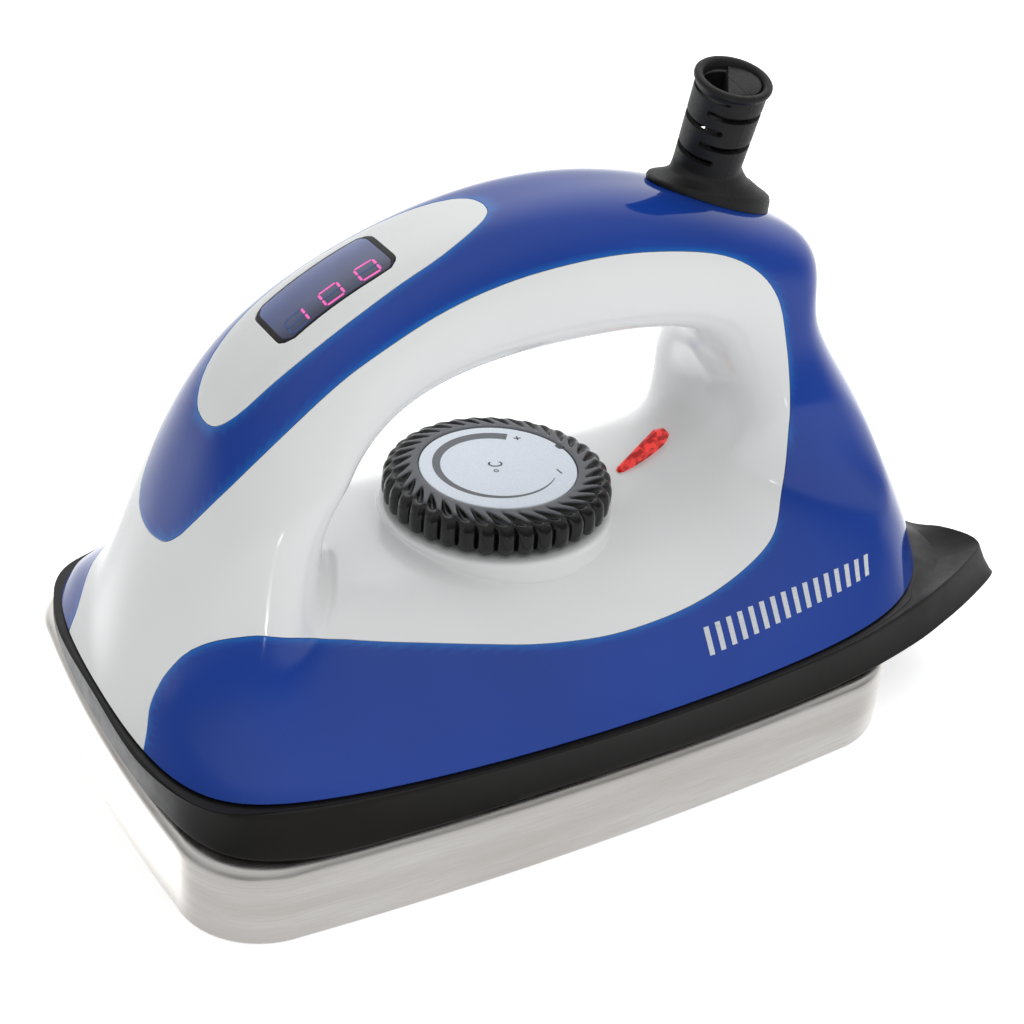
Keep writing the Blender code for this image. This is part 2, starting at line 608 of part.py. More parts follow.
def make_wires(parts):
    """The three cores from the cord clamp down the heel to the terminal block and the plate."""
    radius = 1.1
    brown = ("wire_brown", (0.2, 0.07, 0.02), 0.5)
    blue = ("wire_blue", (0.02, 0.1, 0.5), 0.5)
    green = ("wire_green", (0.1, 0.4, 0.05), 0.5)
    for name, y, look in (("wire_live", -4.0, brown), ("wire_neutral", 4.0, blue)):
        route = [(45.0, y * 0.5, 92.0), (50.0, y * 0.8, 88.0), (57.0, y, 84.0), (63.0, y, 73.0), (65.5, y * 1.2, 58.0),
                 (62.0, y * 1.2, 42.0), (53.0, y, 34.0), (46.3, y, 29.0)]
        tube(name, smooth_route(route, 2), radius, look, parts)
    route = [(46.2, 0, 90.8), (52.0, 0, 86.5), (61.0, 0, 82.5), (68.5, 0, 69.0), (73.0, 0, 54.0), (76.0, 4, 40.0),
             (74.0, 12.0, 30.0), (68.0, 20.0, 26.6), (61.0, 24.0, 25.2)]
    tube("wire_earth", smooth_route(route, 2), radius, green, parts)


# ---- knob --------------------------------------------------------------------------------------
def make_knob(parts):
    """Hollow knob with a ring of rounded lobes. Its origin is on the axis it turns about."""
    profile = [  # radius, z, depth of the grooves between the lobes
        (3.1, 52.0, 0.0), (3.1, 49.4, 0.0), (5.4, 49.4, 0.0), (5.4, 51.6, 0.0), (17.0, 51.6, 0.0),
        (18.6, KNOB_FOOT, 0.0), (KNOB_RADIUS - 1.6, KNOB_FOOT, 0.8), (KNOB_RADIUS - 0.2, KNOB_FOOT + 1.0, 1.3),
        (KNOB_RADIUS, KNOB_FOOT + 3.4, 1.3), (KNOB_RADIUS - 1.8, 53.2, 1.2), (18.4, 54.0, 0.4),
        (16.2, KNOB_TOP, 0.0), (16.1, 53.3, 0.0),
    ]
    count = KNOB_LOBES * 2
    bm = bmesh.new()
    rings = []
    for radius, z, groove in profile:
        ring = []
        for i in range(count):
            angle = 2 * math.pi * i / count
            r = (radius - groove * (i % 2)) * MM
            ring.append(bm.verts.new((r * math.cos(angle), r * math.sin(angle), z * MM)))
        rings.append(ring)
    for first, second in zip(rings, rings[1:]):
        for i in range(count):
            j = (i + 1) % count
            bm.faces.new((first[i], first[j], second[j], second[i]))
    bm.faces.new(rings[0])
    bm.faces.new(rings[-1])
    grip = add_object("knob_grip", finish_mesh(bm, "knob_grip"), BLACK, parts)
    grip.location = (KNOB_X * MM, 0.0, 0.0)

    cylinder("dial_disc", DIAL_RADIUS, 53.6, KNOB_TOP, (KNOB_X, 0), SILVER, parts, 40)
    cylinder("pot_shaft", 2.8, 36.4, 51.7, (KNOB_X, 0), STEEL, parts, 16)
    turned("potentiometer", [(3.7, 46.0), (3.7, 40.6), (8.5, 40.6), (8.5, 33.4), (0.0, 33.4), (0.0, 36.0),
                             (3.1, 36.0), (3.1, 46.0)], (KNOB_X, 0), STEEL, parts, 20)
    turned("pot_nut", [(6.2, 48.4), (6.2, BOSS_TOP + GAP), (4.0, BOSS_TOP + GAP), (4.0, 48.4)], (KNOB_X, 0),
           STEEL, parts, 6)


# ---- pilot lamp --------------------------------------------------------------------------------
def lamp_solid(name, look, collection, extra, reach):
    """A cut-gem wedge, narrow towards the knob, that goes through the sloping floor of the opening."""
    tip, end = Vector((33.4, 0.0, 47.4)), Vector((44.2, 0.0, 53.4))
    along = (end - tip).normalized()
    out = Vector((-along.z, 0.0, along.x))
    length = (end - tip).length
    stations = [(-extra, 0.7 + extra, 0.5), (length * 0.8, 2.3 + extra, 1.2), (length + extra, 1.5 + extra, 0.7)]
    bm = bmesh.new()
    rings = []
    for run, half, crest in stations:
        base = tip + along * run
        corners = [(-half, -reach), (half, -reach), (half, 0.0), (0.0, crest + extra), (-half, 0.0)]
        rings.append([bm.verts.new((base + Vector((0, 1, 0)) * s + out * h) * MM) for s, h in corners])
    for first, second in zip(rings, rings[1:]):
        for i in range(5):
            j = (i + 1) % 5
            bm.faces.new((first[i], first[j], second[j], second[i]))
    bm.faces.new(rings[0])
    bm.faces.new(rings[-1])
    return add_object(name, finish_mesh(bm, name), look, collection)


def make_lamp(parts):
    lamp_solid("lamp_lens", RED, parts, 0.0, 3.4)
    cylinder("lamp_led", 2.0, 37.0, 42.5, (42.0, 0.0), ("led_clear", (0.9, 0.6, 0.6), 0.2), parts, 12)


# ---- cord sleeve -------------------------------------------------------------------------------
def foot_frame():
    return Matrix.Translation(Vector(FOOT_PLACE) * MM) @ Matrix.Rotation(FOOT_LEAN, 4, "Y")


def sleeve_frame(share, height):
    """Frame across the sleeve: share 0 is on the foot's axis, 1 on the tube's, height mm along it."""
    tube_frame = Matrix.Translation(Vector(TUBE_PLACE) * MM) @ Matrix.Rotation(TUBE_LEAN, 4, "X")
    return foot_frame().lerp(tube_frame, share) @ Matrix.Translation((0.0, 0.0, height * MM))


def on_foot_axis(name, radius, low, high, collection, along=0.0, sides=20):
    obj = cylinder(name, radius, low, high, (0, 0), None, collection, sides)
    obj.matrix_world = foot_frame() @ Matrix.Translation(Vector((along, 0, (low + high) / 2)) * MM)
    return obj


def sleeve_loft(name, rings, look, collection, sides=24):
    """A closed solid through ellipses across the sleeve: (share, height, half length, half width)."""
    bm = bmesh.new()
    made = []
    for share, height, half_length, half_width in rings:
        frame = sleeve_frame(share, height)
        ring = []
        for i in range(sides):
            angle = 2 * math.pi * i / sides
            spot = Vector((half_length * math.cos(angle), half_width * math.sin(angle), 0.0)) * MM
            ring.append(bm.verts.new(frame @ spot))
        made.append(ring)
    for first, second in zip(made, made[1:]):
        for i in range(sides):
            j = (i + 1) % sides
            bm.faces.new((first[i], first[j], second[j], second[i]))
    bm.faces.new(made[0])
    bm.faces.new(made[-1])
    return add_object(name, finish_mesh(bm, name), look, collection)


def make_sleeve(parts, cutters):
    """A rubber sleeve with a saddle foot on the handle, alternating slots, and a lip round its mouth."""
    lip = TUBE_RISE - 1.4
    rings = [(0, -6.0, 14.6, 8.2), (0, 3.2, 14.6, 8.2), (0, 4.6, 13.6, 7.7), (0.5, 0.4, 10.4, 7.0), (0.8, 0.0, 7.4, 6.5),
             (1, 0.0, 6.3, 6.2), (1, lip - 0.7, 6.9, 6.9), (1, lip, 7.4, 7.4), (1, TUBE_RISE, 7.4, 7.4)]
    sleeve = sleeve_loft("cord_sleeve", rings, RUBBER, parts)
    handle = body_shell("handle_keepout", None, cutters, RIBS[6:13], 10.0, GAP)
    boolean(sleeve, mark_cutter(handle), "DIFFERENCE")
    neck = [(0, -4.6, 6.8, 6.8), (0, -2.8, 6.8, 6.8), (0, -2.8, 4.9, 4.9), (0, 4.0, 4.9, 4.9)]
    boolean(sleeve, mark_cutter(sleeve_loft("sleeve_neck", neck, None, cutters)), "UNION")
    bore = [(0, -10.0, 4.0, 4.0), (0, 0.0, 4.0, 4.0), (0.5, 0.0, 4.2, 4.2), (1, 0.0, 4.6, 4.6), (1, 4.0, 5.4, 5.4),
            (1, 30.0, 5.4, 5.4)]
    boolean(sleeve, mark_cutter(sleeve_loft("sleeve_bore", bore, None, cutters)), "DIFFERENCE")
    # five slots, in turn on the two sides of the tube, each a little more than half way round
    left, right, pitch, slot_height = 147.0, -42.0, 3.3, 1.2
    for number in range(5):
        slot = box(f"sleeve_slot_{number + 1}", (10.0, 18.0, slot_height), (0, 0, 0), None, cutters)
        turn = right if number % 2 else left
        slot.matrix_world = (sleeve_frame(1, 3.2 + pitch * number) @ Matrix.Rotation(math.radians(turn), 4, "Z")
                             @ Matrix.Translation((5.4 * MM, 0.0, 0.0)))
        boolean(sleeve, mark_cutter(slot), "DIFFERENCE")
    route = [sleeve_frame(share, height).translation / MM
             for share, height in ((0, -9), (0, -4), (0, 0), (0.5, 0), (1, 0), (1, 8), (1, TUBE_RISE - 1.6))]
    tube("cord_end", smooth_route(route, 2), 3.5, RUBBER, parts, 2)

    clamp_height, screw_spread = -6.6, 7.2
    clamp = box("cord_clamp", (20.0, 12.0, 3.2), (0, 0, 0), STEEL, parts)
    clamp.matrix_world = foot_frame() @ Matrix.Translation((0, 0, clamp_height * MM))
    boolean(clamp, mark_cutter(on_foot_axis("clamp_cut", 3.8, -12.0, -1.0, cutters)), "DIFFERENCE")
    for number, along in enumerate((-screw_spread, screw_spread), 1):
        hole = on_foot_axis(f"clamp_hole_{number}", 1.5, -12.0, -1.0, cutters, along, 10)
        boolean(clamp, mark_cutter(hole), "DIFFERENCE")
        profile = [(1.2, -4.8), (1.2, -8.5), (2.4, -8.5), (2.4, -10.0), (0.0, -10.0), (0.0, -4.8)]
        screw = turned(f"clamp_screw_{number}", profile, (0, 0), STEEL, parts, 10)
        screw.matrix_world = foot_frame() @ Matrix.Translation((along * MM, 0, 0))


def main():
    clear_scene()
    parts = new_collection("waxing_iron")
    cutters = new_collection("cutters")
    make_sole_plate(parts, cutters)
    make_heater(parts)
    make_posts(parts)
    make_sheets(parts, cutters)
    make_sensors(parts)
    make_skirt(parts)
    make_body(parts, cutters)
    make_electronics(parts)
    make_wires(parts)
    make_knob(parts)
    make_lamp(parts)
    make_sleeve(parts, cutters)


main()
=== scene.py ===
import math

import bmesh
import bpy
import numpy as np
from mathutils import Matrix, Vector
from mathutils.bvhtree import BVHTree


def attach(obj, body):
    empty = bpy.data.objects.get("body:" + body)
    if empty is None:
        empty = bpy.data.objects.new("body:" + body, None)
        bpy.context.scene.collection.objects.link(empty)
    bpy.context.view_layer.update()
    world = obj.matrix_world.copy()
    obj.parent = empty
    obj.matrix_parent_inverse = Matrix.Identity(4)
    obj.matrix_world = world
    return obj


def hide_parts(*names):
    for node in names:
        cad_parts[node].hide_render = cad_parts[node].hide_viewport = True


# Looks of a ski waxing iron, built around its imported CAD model. Lengths here are millimetres;
# MM turns them into metres. The nose points to -X, the heel to +X, the viewer stands at -X -Y.
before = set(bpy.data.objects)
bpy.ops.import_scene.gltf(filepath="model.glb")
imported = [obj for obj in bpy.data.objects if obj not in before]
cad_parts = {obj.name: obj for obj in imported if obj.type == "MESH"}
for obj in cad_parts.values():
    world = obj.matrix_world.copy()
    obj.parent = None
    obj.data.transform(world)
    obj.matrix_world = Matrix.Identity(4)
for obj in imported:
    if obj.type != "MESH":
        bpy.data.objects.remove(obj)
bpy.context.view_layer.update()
MM = 0.001

# ---- the body's cage, as the CAD model has it ----------------------------------------------------
# One row per rib: kind of section (0 handle, 1 corner, 2 foot), inner x and z on the finger
# opening, outer x, half width and z on the ridge or the foot, and how far the rib bulges sideways.
RIBS = [
    (1.0, -36.0, 50.0, -79.4, 0.0, 26.0, 35.0),
    (0.8, -38.5, 57.0, -74.3, 0.0, 39.0, 32.0),
    (0.5, -38.0, 65.0, -68.0, 0.0, 54.0, 27.5),
    (0.2, -34.0, 73.0, -61.8, 0.0, 70.0, 22.0),
    (0.0, -27.0, 78.5, -53.6, 0.0, 86.4, 18.0),
    (0.0, -17.0, 82.0, -37.8, 0.0, 99.6, 15.8),
    (0.0, -3.0, 84.3, -13.5, 0.0, 109.8, 15.5),
    (0.0, 12.0, 85.0, 12.0, 0.0, 113.4, 16.0),
    (0.0, 27.0, 85.0, 36.0, 0.0, 110.0, 16.5),
    (0.0, 39.0, 83.0, 57.6, 0.0, 102.5, 16.5),
    (0.0, 46.0, 78.5, 72.2, 0.0, 96.0, 16.5),
    (0.2, 50.0, 72.0, 68.2, 0.0, 83.0, 18.0),
    (0.5, 50.0, 66.5, 85.4, 0.0, 62.5, 24.0),
    (0.8, 48.5, 61.5, 95.2, 0.0, 43.5, 30.0),
    (1.0, 46.5, 57.5, 104.4, 0.0, 26.0, 33.0),
    (1.35, 43.5, 53.5, 102.5, 17.0, 26.0, 21.0),
    (1.65, 39.5, 50.0, 94.5, 31.0, 26.0, 12.0),
    (1.85, 33.5, 47.0, 81.0, 42.0, 26.0, 5.0),
    (2.0, 25.0, 45.5, 62.0, 47.5, 26.0, 1.5),
    (2.0, 16.0, 45.3, 38.0, 50.3, 26.0, 0.0),
    (2.0, 6.0, 45.3, 12.0, 51.6, 26.0, 0.0),
    (2.0, -5.0, 45.3, -14.0, 51.3, 26.0, 0.0),
    (2.0, -15.0, 45.3, -38.0, 49.6, 26.0, 1.0),
    (1.9, -23.0, 45.5, -59.0, 46.2, 26.0, 4.0),
    (1.7, -29.0, 46.3, -73.0, 40.0, 26.0, 9.0),
    (1.35, -33.5, 48.0, -78.6, 24.5, 26.0, 20.0),
]
# For each kind of section: how far along x, how far along z, and the share of the bulge,
# at seven steps from the finger opening to the ridge or the foot.
SECTIONS = [
    ([0, -.01, .15, .5, .85, 1.01, 1], [0, -.01, .15, .5, .85, 1.01, 1], [0, .62, 1.04, 1.12, .95, .5, 0]),
    ([0, .08, .23, .48, .73, .91, 1], [0, 0, .06, .23, .46, .75, 1], [0, .49, .9, 1.0, .82, .42, 0]),
    ([0, .12, .33, .54, .73, .89, 1], [0, .01, .1, .32, .57, .8, 1], [0, .49, .9, 1.0, .82, .42, 0]),
]
FOOT_SHARE = [0, .2, .42, .6, .76, .9, 1]
SMOOTH_LEVEL = 3
# Places on the flank where the ribs bunch up and the surface gets evened out, and how far round them.
CREASES = [((-51.0, -33.0, 42.0), 25.0), ((-46.5, -28.5, 48.0), 23.0), ((-43.0, -23.0, 55.0), 17.0),
           ((65.0, -28.5, 50.5), 19.0)]

# Edge between the blue and the white shell on the near side of the body, (x, y, z), from the middle of
# the tongue on the nose, over the handle, down the heel and back along the side to the nose's foot.
TONGUE_NEAR = [
    (-66.9, -2.2, 56.4), (-66.5, -4.3, 57.2), (-65.9, -6.1, 58.6), (-65.1, -7.6, 60.2), (-63.8, -9.3, 62.8),
    (-61.2, -12.2, 67.8), (-56.8, -15.2, 74.2), (-50.2, -17.0, 81.3),
]
# The tongue sits a little to the far side, so its far edge has its own places.
TONGUE_FAR = [
    (-67.2, 2.0, 55.6), (-67.1, 4.8, 55.6), (-66.7, 7.8, 55.9), (-66.0, 10.8, 56.8), (-65.1, 12.8, 58.4),
    (-64.1, 14.3, 60.2), (-62.7, 15.2, 63.4), (-60.4, 16.2, 68.4), (-56.8, 17.0, 74.2), (-50.6, 17.4, 80.8),
]
COLOUR_EDGE = [
    (-41.0, -16.9, 88.3), (-33.2, -16.3, 92.6), (-19.6, -15.7, 98.6), (-6.0, -15.5, 102.3), (8.4, -15.8, 104.0),
    (21.0, -16.0, 103.9), (34.7, -16.3, 102.0), (43.3, -16.5, 99.3), (50.0, -17.0, 95.0), (54.8, -17.7, 88.7),
    (57.4, -18.8, 80.0), (58.4, -20.6, 70.5), (58.4, -22.8, 60.0), (58.0, -24.6, 49.9), (55.8, -27.0, 43.2),
    (50.9, -29.7, 39.9), (41.7, -32.7, 37.4), (31.2, -35.2, 36.0), (20.0, -36.6, 35.5), (8.0, -36.8, 35.6),
    (-5.3, -35.0, 36.6), (-16.7, -32.2, 38.2), (-31.3, -28.2, 40.4), (-40.0, -26.0, 42.1),
]
FOOT_NEAR = [
    (-44.3, -25.8, 43.4), (-47.6, -26.5, 45.0), (-51.2, -28.0, 47.1), (-56.9, -28.0, 49.1), (-60.0, -26.6, 49.2),
    (-65.0, -23.0, 47.3), (-68.7, -19.6, 43.9), (-71.3, -17.5, 39.7), (-72.9, -16.5, 36.5), (-75.0, -16.6, 32.1),
    (-77.0, -19.5, 28.1), (-78.2, -21.5, 24.0),
]
FOOT_FAR = [
    (-47.6, 26.5, 45.0), (-52.0, 28.2, 46.8), (-57.5, 30.2, 46.4), (-62.5, 31.0, 44.0), (-66.5, 30.2, 40.0),
    (-69.5, 28.1, 35.6), (-72.5, 24.5, 33.0), (-75.0, 21.5, 30.4), (-76.6, 20.1, 28.4), (-78.2, 18.6, 24.0),
]
SHELL_GAP = 0.06               # width of the groove between the shells
SHELL_WALL = 1.9
EDGE_ROUND = 0.11

# ---- display -------------------------------------------------------------------------------------
DISPLAY_CENTRE = (-33.5, 98.0)  # x and z of the display's middle on the ridge
DISPLAY_TILT = math.radians(30.0)
LEAF = [  # half outline of the white display cover: distance along the ridge, half width
    (-31.0, 0.0), (-30.0, 4.8), (-26.0, 8.4), (-20.0, 10.2), (-11.0, 11.3), (0.0, 11.3),
    (10.0, 10.6), (19.0, 9.6), (27.0, 7.2), (31.4, 4.3), (32.6, 0.0),
]
LEAF_SHIFT = 0.65              # the cover sits this much to the near side and is narrower by as much
WINDOW = (25.6, 13.8, 2.4)     # length, width and corner radius

# ---- knob, lamp and sleeve, as the CAD model places them -----------------------------------------
KNOB_X = 4.4
KNOB_TOP = 54.1
KNOB_LOBES = 36
DIAL_RADIUS = 15.8
BOSS_TOP = 46.3
FOOT_PLACE = (47.0, 0.0, 103.6)
FOOT_LEAN = math.radians(17.0)
TUBE_PLACE = (46.4, 0.0, 112.7)
TUBE_LEAN = math.radians(14.5)
TUBE_RISE = 18.4

# Skirt, half of it from the heel to the nose: lower edge (x, y, z) and upper edge (x, y, z).
SKIRT = [
    (108.6, 0.0, 18.6, 107.0, 0.0, 21.8),
    (109.4, 13.0, 18.6, 107.6, 13.0, 22.8),
    (111.6, 23.0, 18.8, 109.6, 22.0, 26.0),
    (113.6, 30.4, 19.2, 111.0, 28.6, 27.4),
    (114.4, 33.8, 19.5, 110.6, 32.4, 27.6),
    (112.6, 36.0, 19.4, 108.0, 34.4, 27.4),
    (103.6, 39.9, 18.8, 99.8, 38.2, 26.9),
    (93.6, 43.4, 18.2, 90.4, 41.6, 26.3),
    (81.0, 47.0, 17.6, 81.4, 44.2, 25.6),
    (62.0, 50.8, 17.6, 62.2, 48.5, 25.4),
    (38.0, 53.2, 17.6, 38.0, 51.3, 25.4),
    (12.0, 54.0, 17.6, 12.0, 52.6, 25.4),
    (-14.0, 54.0, 17.6, -14.0, 52.3, 25.4),
    (-38.0, 53.4, 17.6, -38.4, 50.6, 25.4),
    (-60.0, 51.2, 17.6, -59.6, 47.2, 25.3),
    (-73.0, 43.4, 17.6, -72.8, 40.2, 25.2),
    (-78.3, 26.4, 17.6, -79.3, 24.2, 25.2),
    (-79.8, 0.0, 17.6, -80.1, 0.0, 25.2),
]
HEEL_STARTS = 75.0
HEEL_INNER = 77.0
SHELF = 25.4


# ---- camera --------------------------------------------------------------------------------------
def make_camera():
    azimuth, elevation, roll = 0.57047, 0.55027, 0.083634
    distance, shift_right, shift_up = 350.22, 6.118, -13.216
    out = Vector((-math.sin(azimuth) * math.cos(elevation), -math.cos(azimuth) * math.cos(elevation),
                  math.sin(elevation)))
    level_right = Vector((math.cos(azimuth), -math.sin(azimuth), 0.0))
    level_up = out.cross(level_right)
    right = math.cos(roll) * level_right + math.sin(roll) * level_up
    up = -math.sin(roll) * level_right + math.cos(roll) * level_up
    place = (Vector((0.0, 0.0, 60.0)) + out * distance + right * shift_right + up * shift_up) * MM
    data = bpy.data.cameras.new("camera")
    data.sensor_width = 36.0
    data.lens = 62.88
    data.clip_start = 0.01
    camera = bpy.data.objects.new("camera", data)
    camera.matrix_world = Matrix(((right.x, up.x, out.x, place.x), (right.y, up.y, out.y, place.y),
                                  (right.z, up.z, out.z, place.z), (0.0, 0.0, 0.0, 1.0)))
    bpy.context.scene.collection.objects.link(camera)
    bpy.context.scene.camera = camera


# ---- curves and fields ---------------------------------------------------------------------------
def smooth_line(knots, steps, closed=False):
    """Points on a Catmull-Rom curve through the knots, as an array."""
    knots = np.array(knots, float)
    if closed:
        padded = np.vstack([knots[-1:], knots, knots[:2]])
    else:
        padded = np.vstack([2 * knots[0] - knots[1], knots, 2 * knots[-1] - knots[-2]])
    t = (np.arange(steps) / steps)[:, None]
    pieces = []
    for i in range(1, len(padded) - 2):
        a, b, c, d = padded[i - 1:i + 3]
        pieces.append(0.5 * (2 * b + (c - a) * t + (2 * a - 5 * b + 4 * c - d) * t ** 2
                             + (3 * b - a - 3 * c + d) * t ** 3))
    if not closed:
        pieces.append(knots[-1:])
    return np.vstack(pieces)


def nearest_on_line(points, line, closed):
    """For each point: the nearest place on a polyline, its segment's number and the distance."""
    starts = line if closed else line[:-1]
    ends = np.roll(line, -1, axis=0) if closed else line[1:]
    runs = ends - starts
    lengths = np.maximum((runs ** 2).sum(1), 1e-12)
    best = np.full(len(points), np.inf)
    place = np.zeros_like(points)
    segment = np.zeros(len(points), int)
    for i in range(len(starts)):
        t = np.clip((points - starts[i]) @ runs[i] / lengths[i], 0.0, 1.0)
        spot = starts[i] + t[:, None] * runs[i]
        gap = np.linalg.norm(points - spot, axis=1)
        closer = gap < best
        best[closer] = gap[closer]
        place[closer] = spot[closer]
        segment[closer] = i
    return place, segment, best


def inside_outline(points, outline):
    """Signed distance to a closed flat outline: above 0 inside it."""
    _, _, gap = nearest_on_line(points, outline, True)
    inside = np.zeros(len(points), bool)
    for (ax, ay), (bx, by) in zip(outline, np.roll(outline, -1, axis=0)):
        crosses = (ay > points[:, 1]) != (by > points[:, 1])
        reach = (bx - ax) * (points[:, 1] - ay) / (by - ay + 1e-12) + ax
        inside ^= crosses & (points[:, 0] < reach)
    return np.where(inside, gap, -gap)


def step_up(low, high, value):
    t = np.clip((value - low) / (high - low), 0.0, 1.0)
    return t * t * (3 - 2 * t)


# ---- meshes --------------------------------------------------------------------------------------
def mesh_from(name, points, faces):
    mesh = bpy.data.meshes.new(name)
    mesh.from_pydata([tuple(p) for p in np.asarray(points) * MM], [], faces)
    mesh.update()
    return mesh


def piece(name, mesh, look, body="iron", replaces=()):
    obj = bpy.data.objects.new(name, mesh)
    bpy.context.scene.collection.objects.link(obj)
    if mesh is not None and look is not None:
        mesh.materials.append(look)
    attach(obj, body)
    if replaces:
        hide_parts(*replaces)
    return obj


def shade(mesh, angle=35.0):
    mesh.shade_smooth()
    mesh.set_sharp_from_angle(angle=math.radians(angle))


def add_bevel(obj, width, segments=2, angle=40.0):
    modifier = obj.modifiers.new("rounded", "BEVEL")
    modifier.width = width * MM
    modifier.segments = segments
    modifier.limit_method = "ANGLE"
    modifier.angle_limit = math.radians(angle)
    modifier.harden_normals = True


def clip(points, faces, values):
    """Keeps the part of a mesh where the values are above 0. Points close to the cut move onto it."""
    points = points.copy()
    values = values.copy()
    edges = sorted({(min(a, b), max(a, b)) for face in faces for a, b in zip(face, face[1:] + face[:1])})
    near = {}
    for a, b in edges:
        if values[a] * values[b] < 0:
            t = values[a] / (values[a] - values[b])
            for vertex, other, share in ((a, b, t), (b, a, 1 - t)):
                if share < 0.22 and share < near.get(vertex, (1.0, 0))[0]:
                    near[vertex] = (share, other)
    moved = {v: points[v] + share * (points[other] - points[v]) for v, (share, other) in near.items()}
    for vertex, spot in moved.items():
        points[vertex] = spot
        values[vertex] = 0.0
    made, kept, new_points, new_faces = {}, {}, [], []

    def keep(vertex):
        if vertex not in kept:
            kept[vertex] = len(new_points)
            new_points.append(points[vertex])
        return kept[vertex]

    def cross(a, b):
        key = (min(a, b), max(a, b))
        if key not in made:
            t = values[key[0]] / (values[key[0]] - values[key[1]])
            made[key] = len(new_points)
            new_points.append(points[key[0]] + t * (points[key[1]] - points[key[0]]))
        return made[key]

    for face in faces:
        if all(values[v] <= 0 for v in face):
            continue
        outline = []
        for a, b in zip(face, face[1:] + face[:1]):
            if values[a] >= 0:
                outline.append(keep(a))
            if values[a] * values[b] < 0:
                outline.append(cross(a, b))
        if len(outline) >= 3:
            new_faces.append(outline)
    return np.array(new_points), new_faces


def loft(rings, closed_ring=True, caps=(False, False)):
    """Points and faces through a list of rings with the same number of points."""
    count = len(rings[0])
    points = np.vstack(rings)
    faces = []
    last = count if closed_ring else count - 1
    for r in range(len(rings) - 1):
        for i in range(last):
            j = (i + 1) % count
            faces.append([r * count + i, r * count + j, (r + 1) * count + j, (r + 1) * count + i])
    if caps[0]:
        faces.append(list(range(count))[::-1])
    if caps[1]:
        faces.append([(len(rings) - 1) * count + i for i in range(count)])
    return points, faces


def tidy_normals(mesh):
    bm = bmesh.new()
    bm.from_mesh(mesh)
    bmesh.ops.recalc_face_normals(bm, faces=bm.faces)
    bm.to_mesh(mesh)
    bm.free()


# ---- materials -----------------------------------------------------------------------------------
def shader(name, colour, roughness, metallic=0.0, **sockets):
    look = bpy.data.materials.new(name)
    look.use_nodes = True
    bsdf = look.node_tree.nodes["Principled BSDF"]
    bsdf.inputs["Base Color"].default_value = (*colour, 1.0)
    bsdf.inputs["Roughness"].default_value = roughness
    bsdf.inputs["Metallic"].default_value = metallic
    for socket, value in sockets.items():
        bsdf.inputs[socket.replace("_", " ")].default_value = value
    return look


def add_node(look, kind, inputs=None, **settings):
    node = look.node_tree.nodes.new(kind)
    for key, value in settings.items():
        setattr(node, key, value)
    for key, value in (inputs or {}).items():
        if isinstance(value, bpy.types.NodeSocket):
            look.node_tree.links.new(value, node.inputs[key])
        else:
            node.inputs[key].default_value = value
    return node


def bsdf_of(look):
    return look.node_tree.nodes["Principled BSDF"]


def link(look, output, socket):
    look.node_tree.links.new(output, bsdf_of(look).inputs[socket])


def stretched(look, scale):
    """Object coordinates in metres, scaled along x, y and z."""
    place = add_node(look, "ShaderNodeTexCoord").outputs["Object"]
    return add_node(look, "ShaderNodeMapping", {"Vector": place, "Scale": scale}).outputs["Vector"]


def noise(look, scale, detail=3.0, roughness=0.55, coords=None):
    coords = coords or stretched(look, (1.0, 1.0, 1.0))
    return add_node(look, "ShaderNodeTexNoise", {"Vector": coords, "Scale": scale, "Detail": detail,
                                                 "Roughness": roughness}).outputs["Fac"]


def spread(look, value, low, high, from_low=0.3, from_high=0.7):
    return add_node(look, "ShaderNodeMapRange", {"Value": value, "From Min": from_low, "From Max": from_high,
                                                 "To Min": low, "To Max": high}).outputs["Result"]


def blend(look, share, first, second, mode="MIX"):
    node = add_node(look, "ShaderNodeMix", data_type="RGBA", blend_type=mode)
    for slot, value in ((0, share), (6, first), (7, second)):
        if isinstance(value, bpy.types.NodeSocket):
            look.node_tree.links.new(value, node.inputs[slot])
        elif slot == 0:
            node.inputs[slot].default_value = value
        else:
            node.inputs[slot].default_value = (*value, 1.0)
    return node.outputs[2]


def bump(look, height, strength, distance, normal=None):
    inputs = {"Height": height, "Strength": strength, "Distance": distance * MM}
    if normal is not None:
        inputs["Normal"] = normal
    return add_node(look, "ShaderNodeBump", inputs).outputs["Normal"]


def moulded(name, colour, roughness, shade_range=0.06, rough_range=0.05, grain=0.0, **sockets):
    """Moulded plastic: faint cloudiness in the colour, handling marks in the gloss, a fine surface grain."""
    look = shader(name, colour, roughness, **sockets)
    clouds = noise(look, 28.0, 2.0)
    dark = tuple(c * (1 - shade_range) for c in colour)
    light = tuple(min(1.0, c * (1 + shade_range)) for c in colour)
    link(look, blend(look, spread(look, clouds, 0.0, 1.0), dark, light), "Base Color")
    marks = noise(look, 240.0, 5.0, 0.65)
    link(look, spread(look, marks, roughness, roughness + rough_range, 0.35, 0.75), "Roughness")
    waves = bump(look, noise(look, 60.0, 1.0), 0.06, 0.4)
    if grain:
        waves = bump(look, noise(look, 3800.0, 2.0), grain, 0.05, waves)
    link(look, waves, "Normal")
    return look


def blue_look():
    """Glossy blue shell; near its edges the colour is painted lighter and greener, standing in for light that comes
    through the thin rim.
    """
    colour = (0.008, 0.044, 0.285)
    look = moulded("blue_gloss", colour, 0.08, 0.08, 0.04, Coat_Weight=0.2, Coat_Roughness=0.04)
    # painted light: the blue turns lighter and greener towards the shell's edge
    rim = add_node(look, "ShaderNodeAttribute", attribute_name="rim").outputs["Fac"]
    base = bsdf_of(look).inputs["Base Color"].links[0].from_socket
    link(look, blend(look, spread(look, rim, 0.0, 1.0, 0.0, 1.0), base, (0.008, 0.13, 0.46)), "Base Color")
    return look


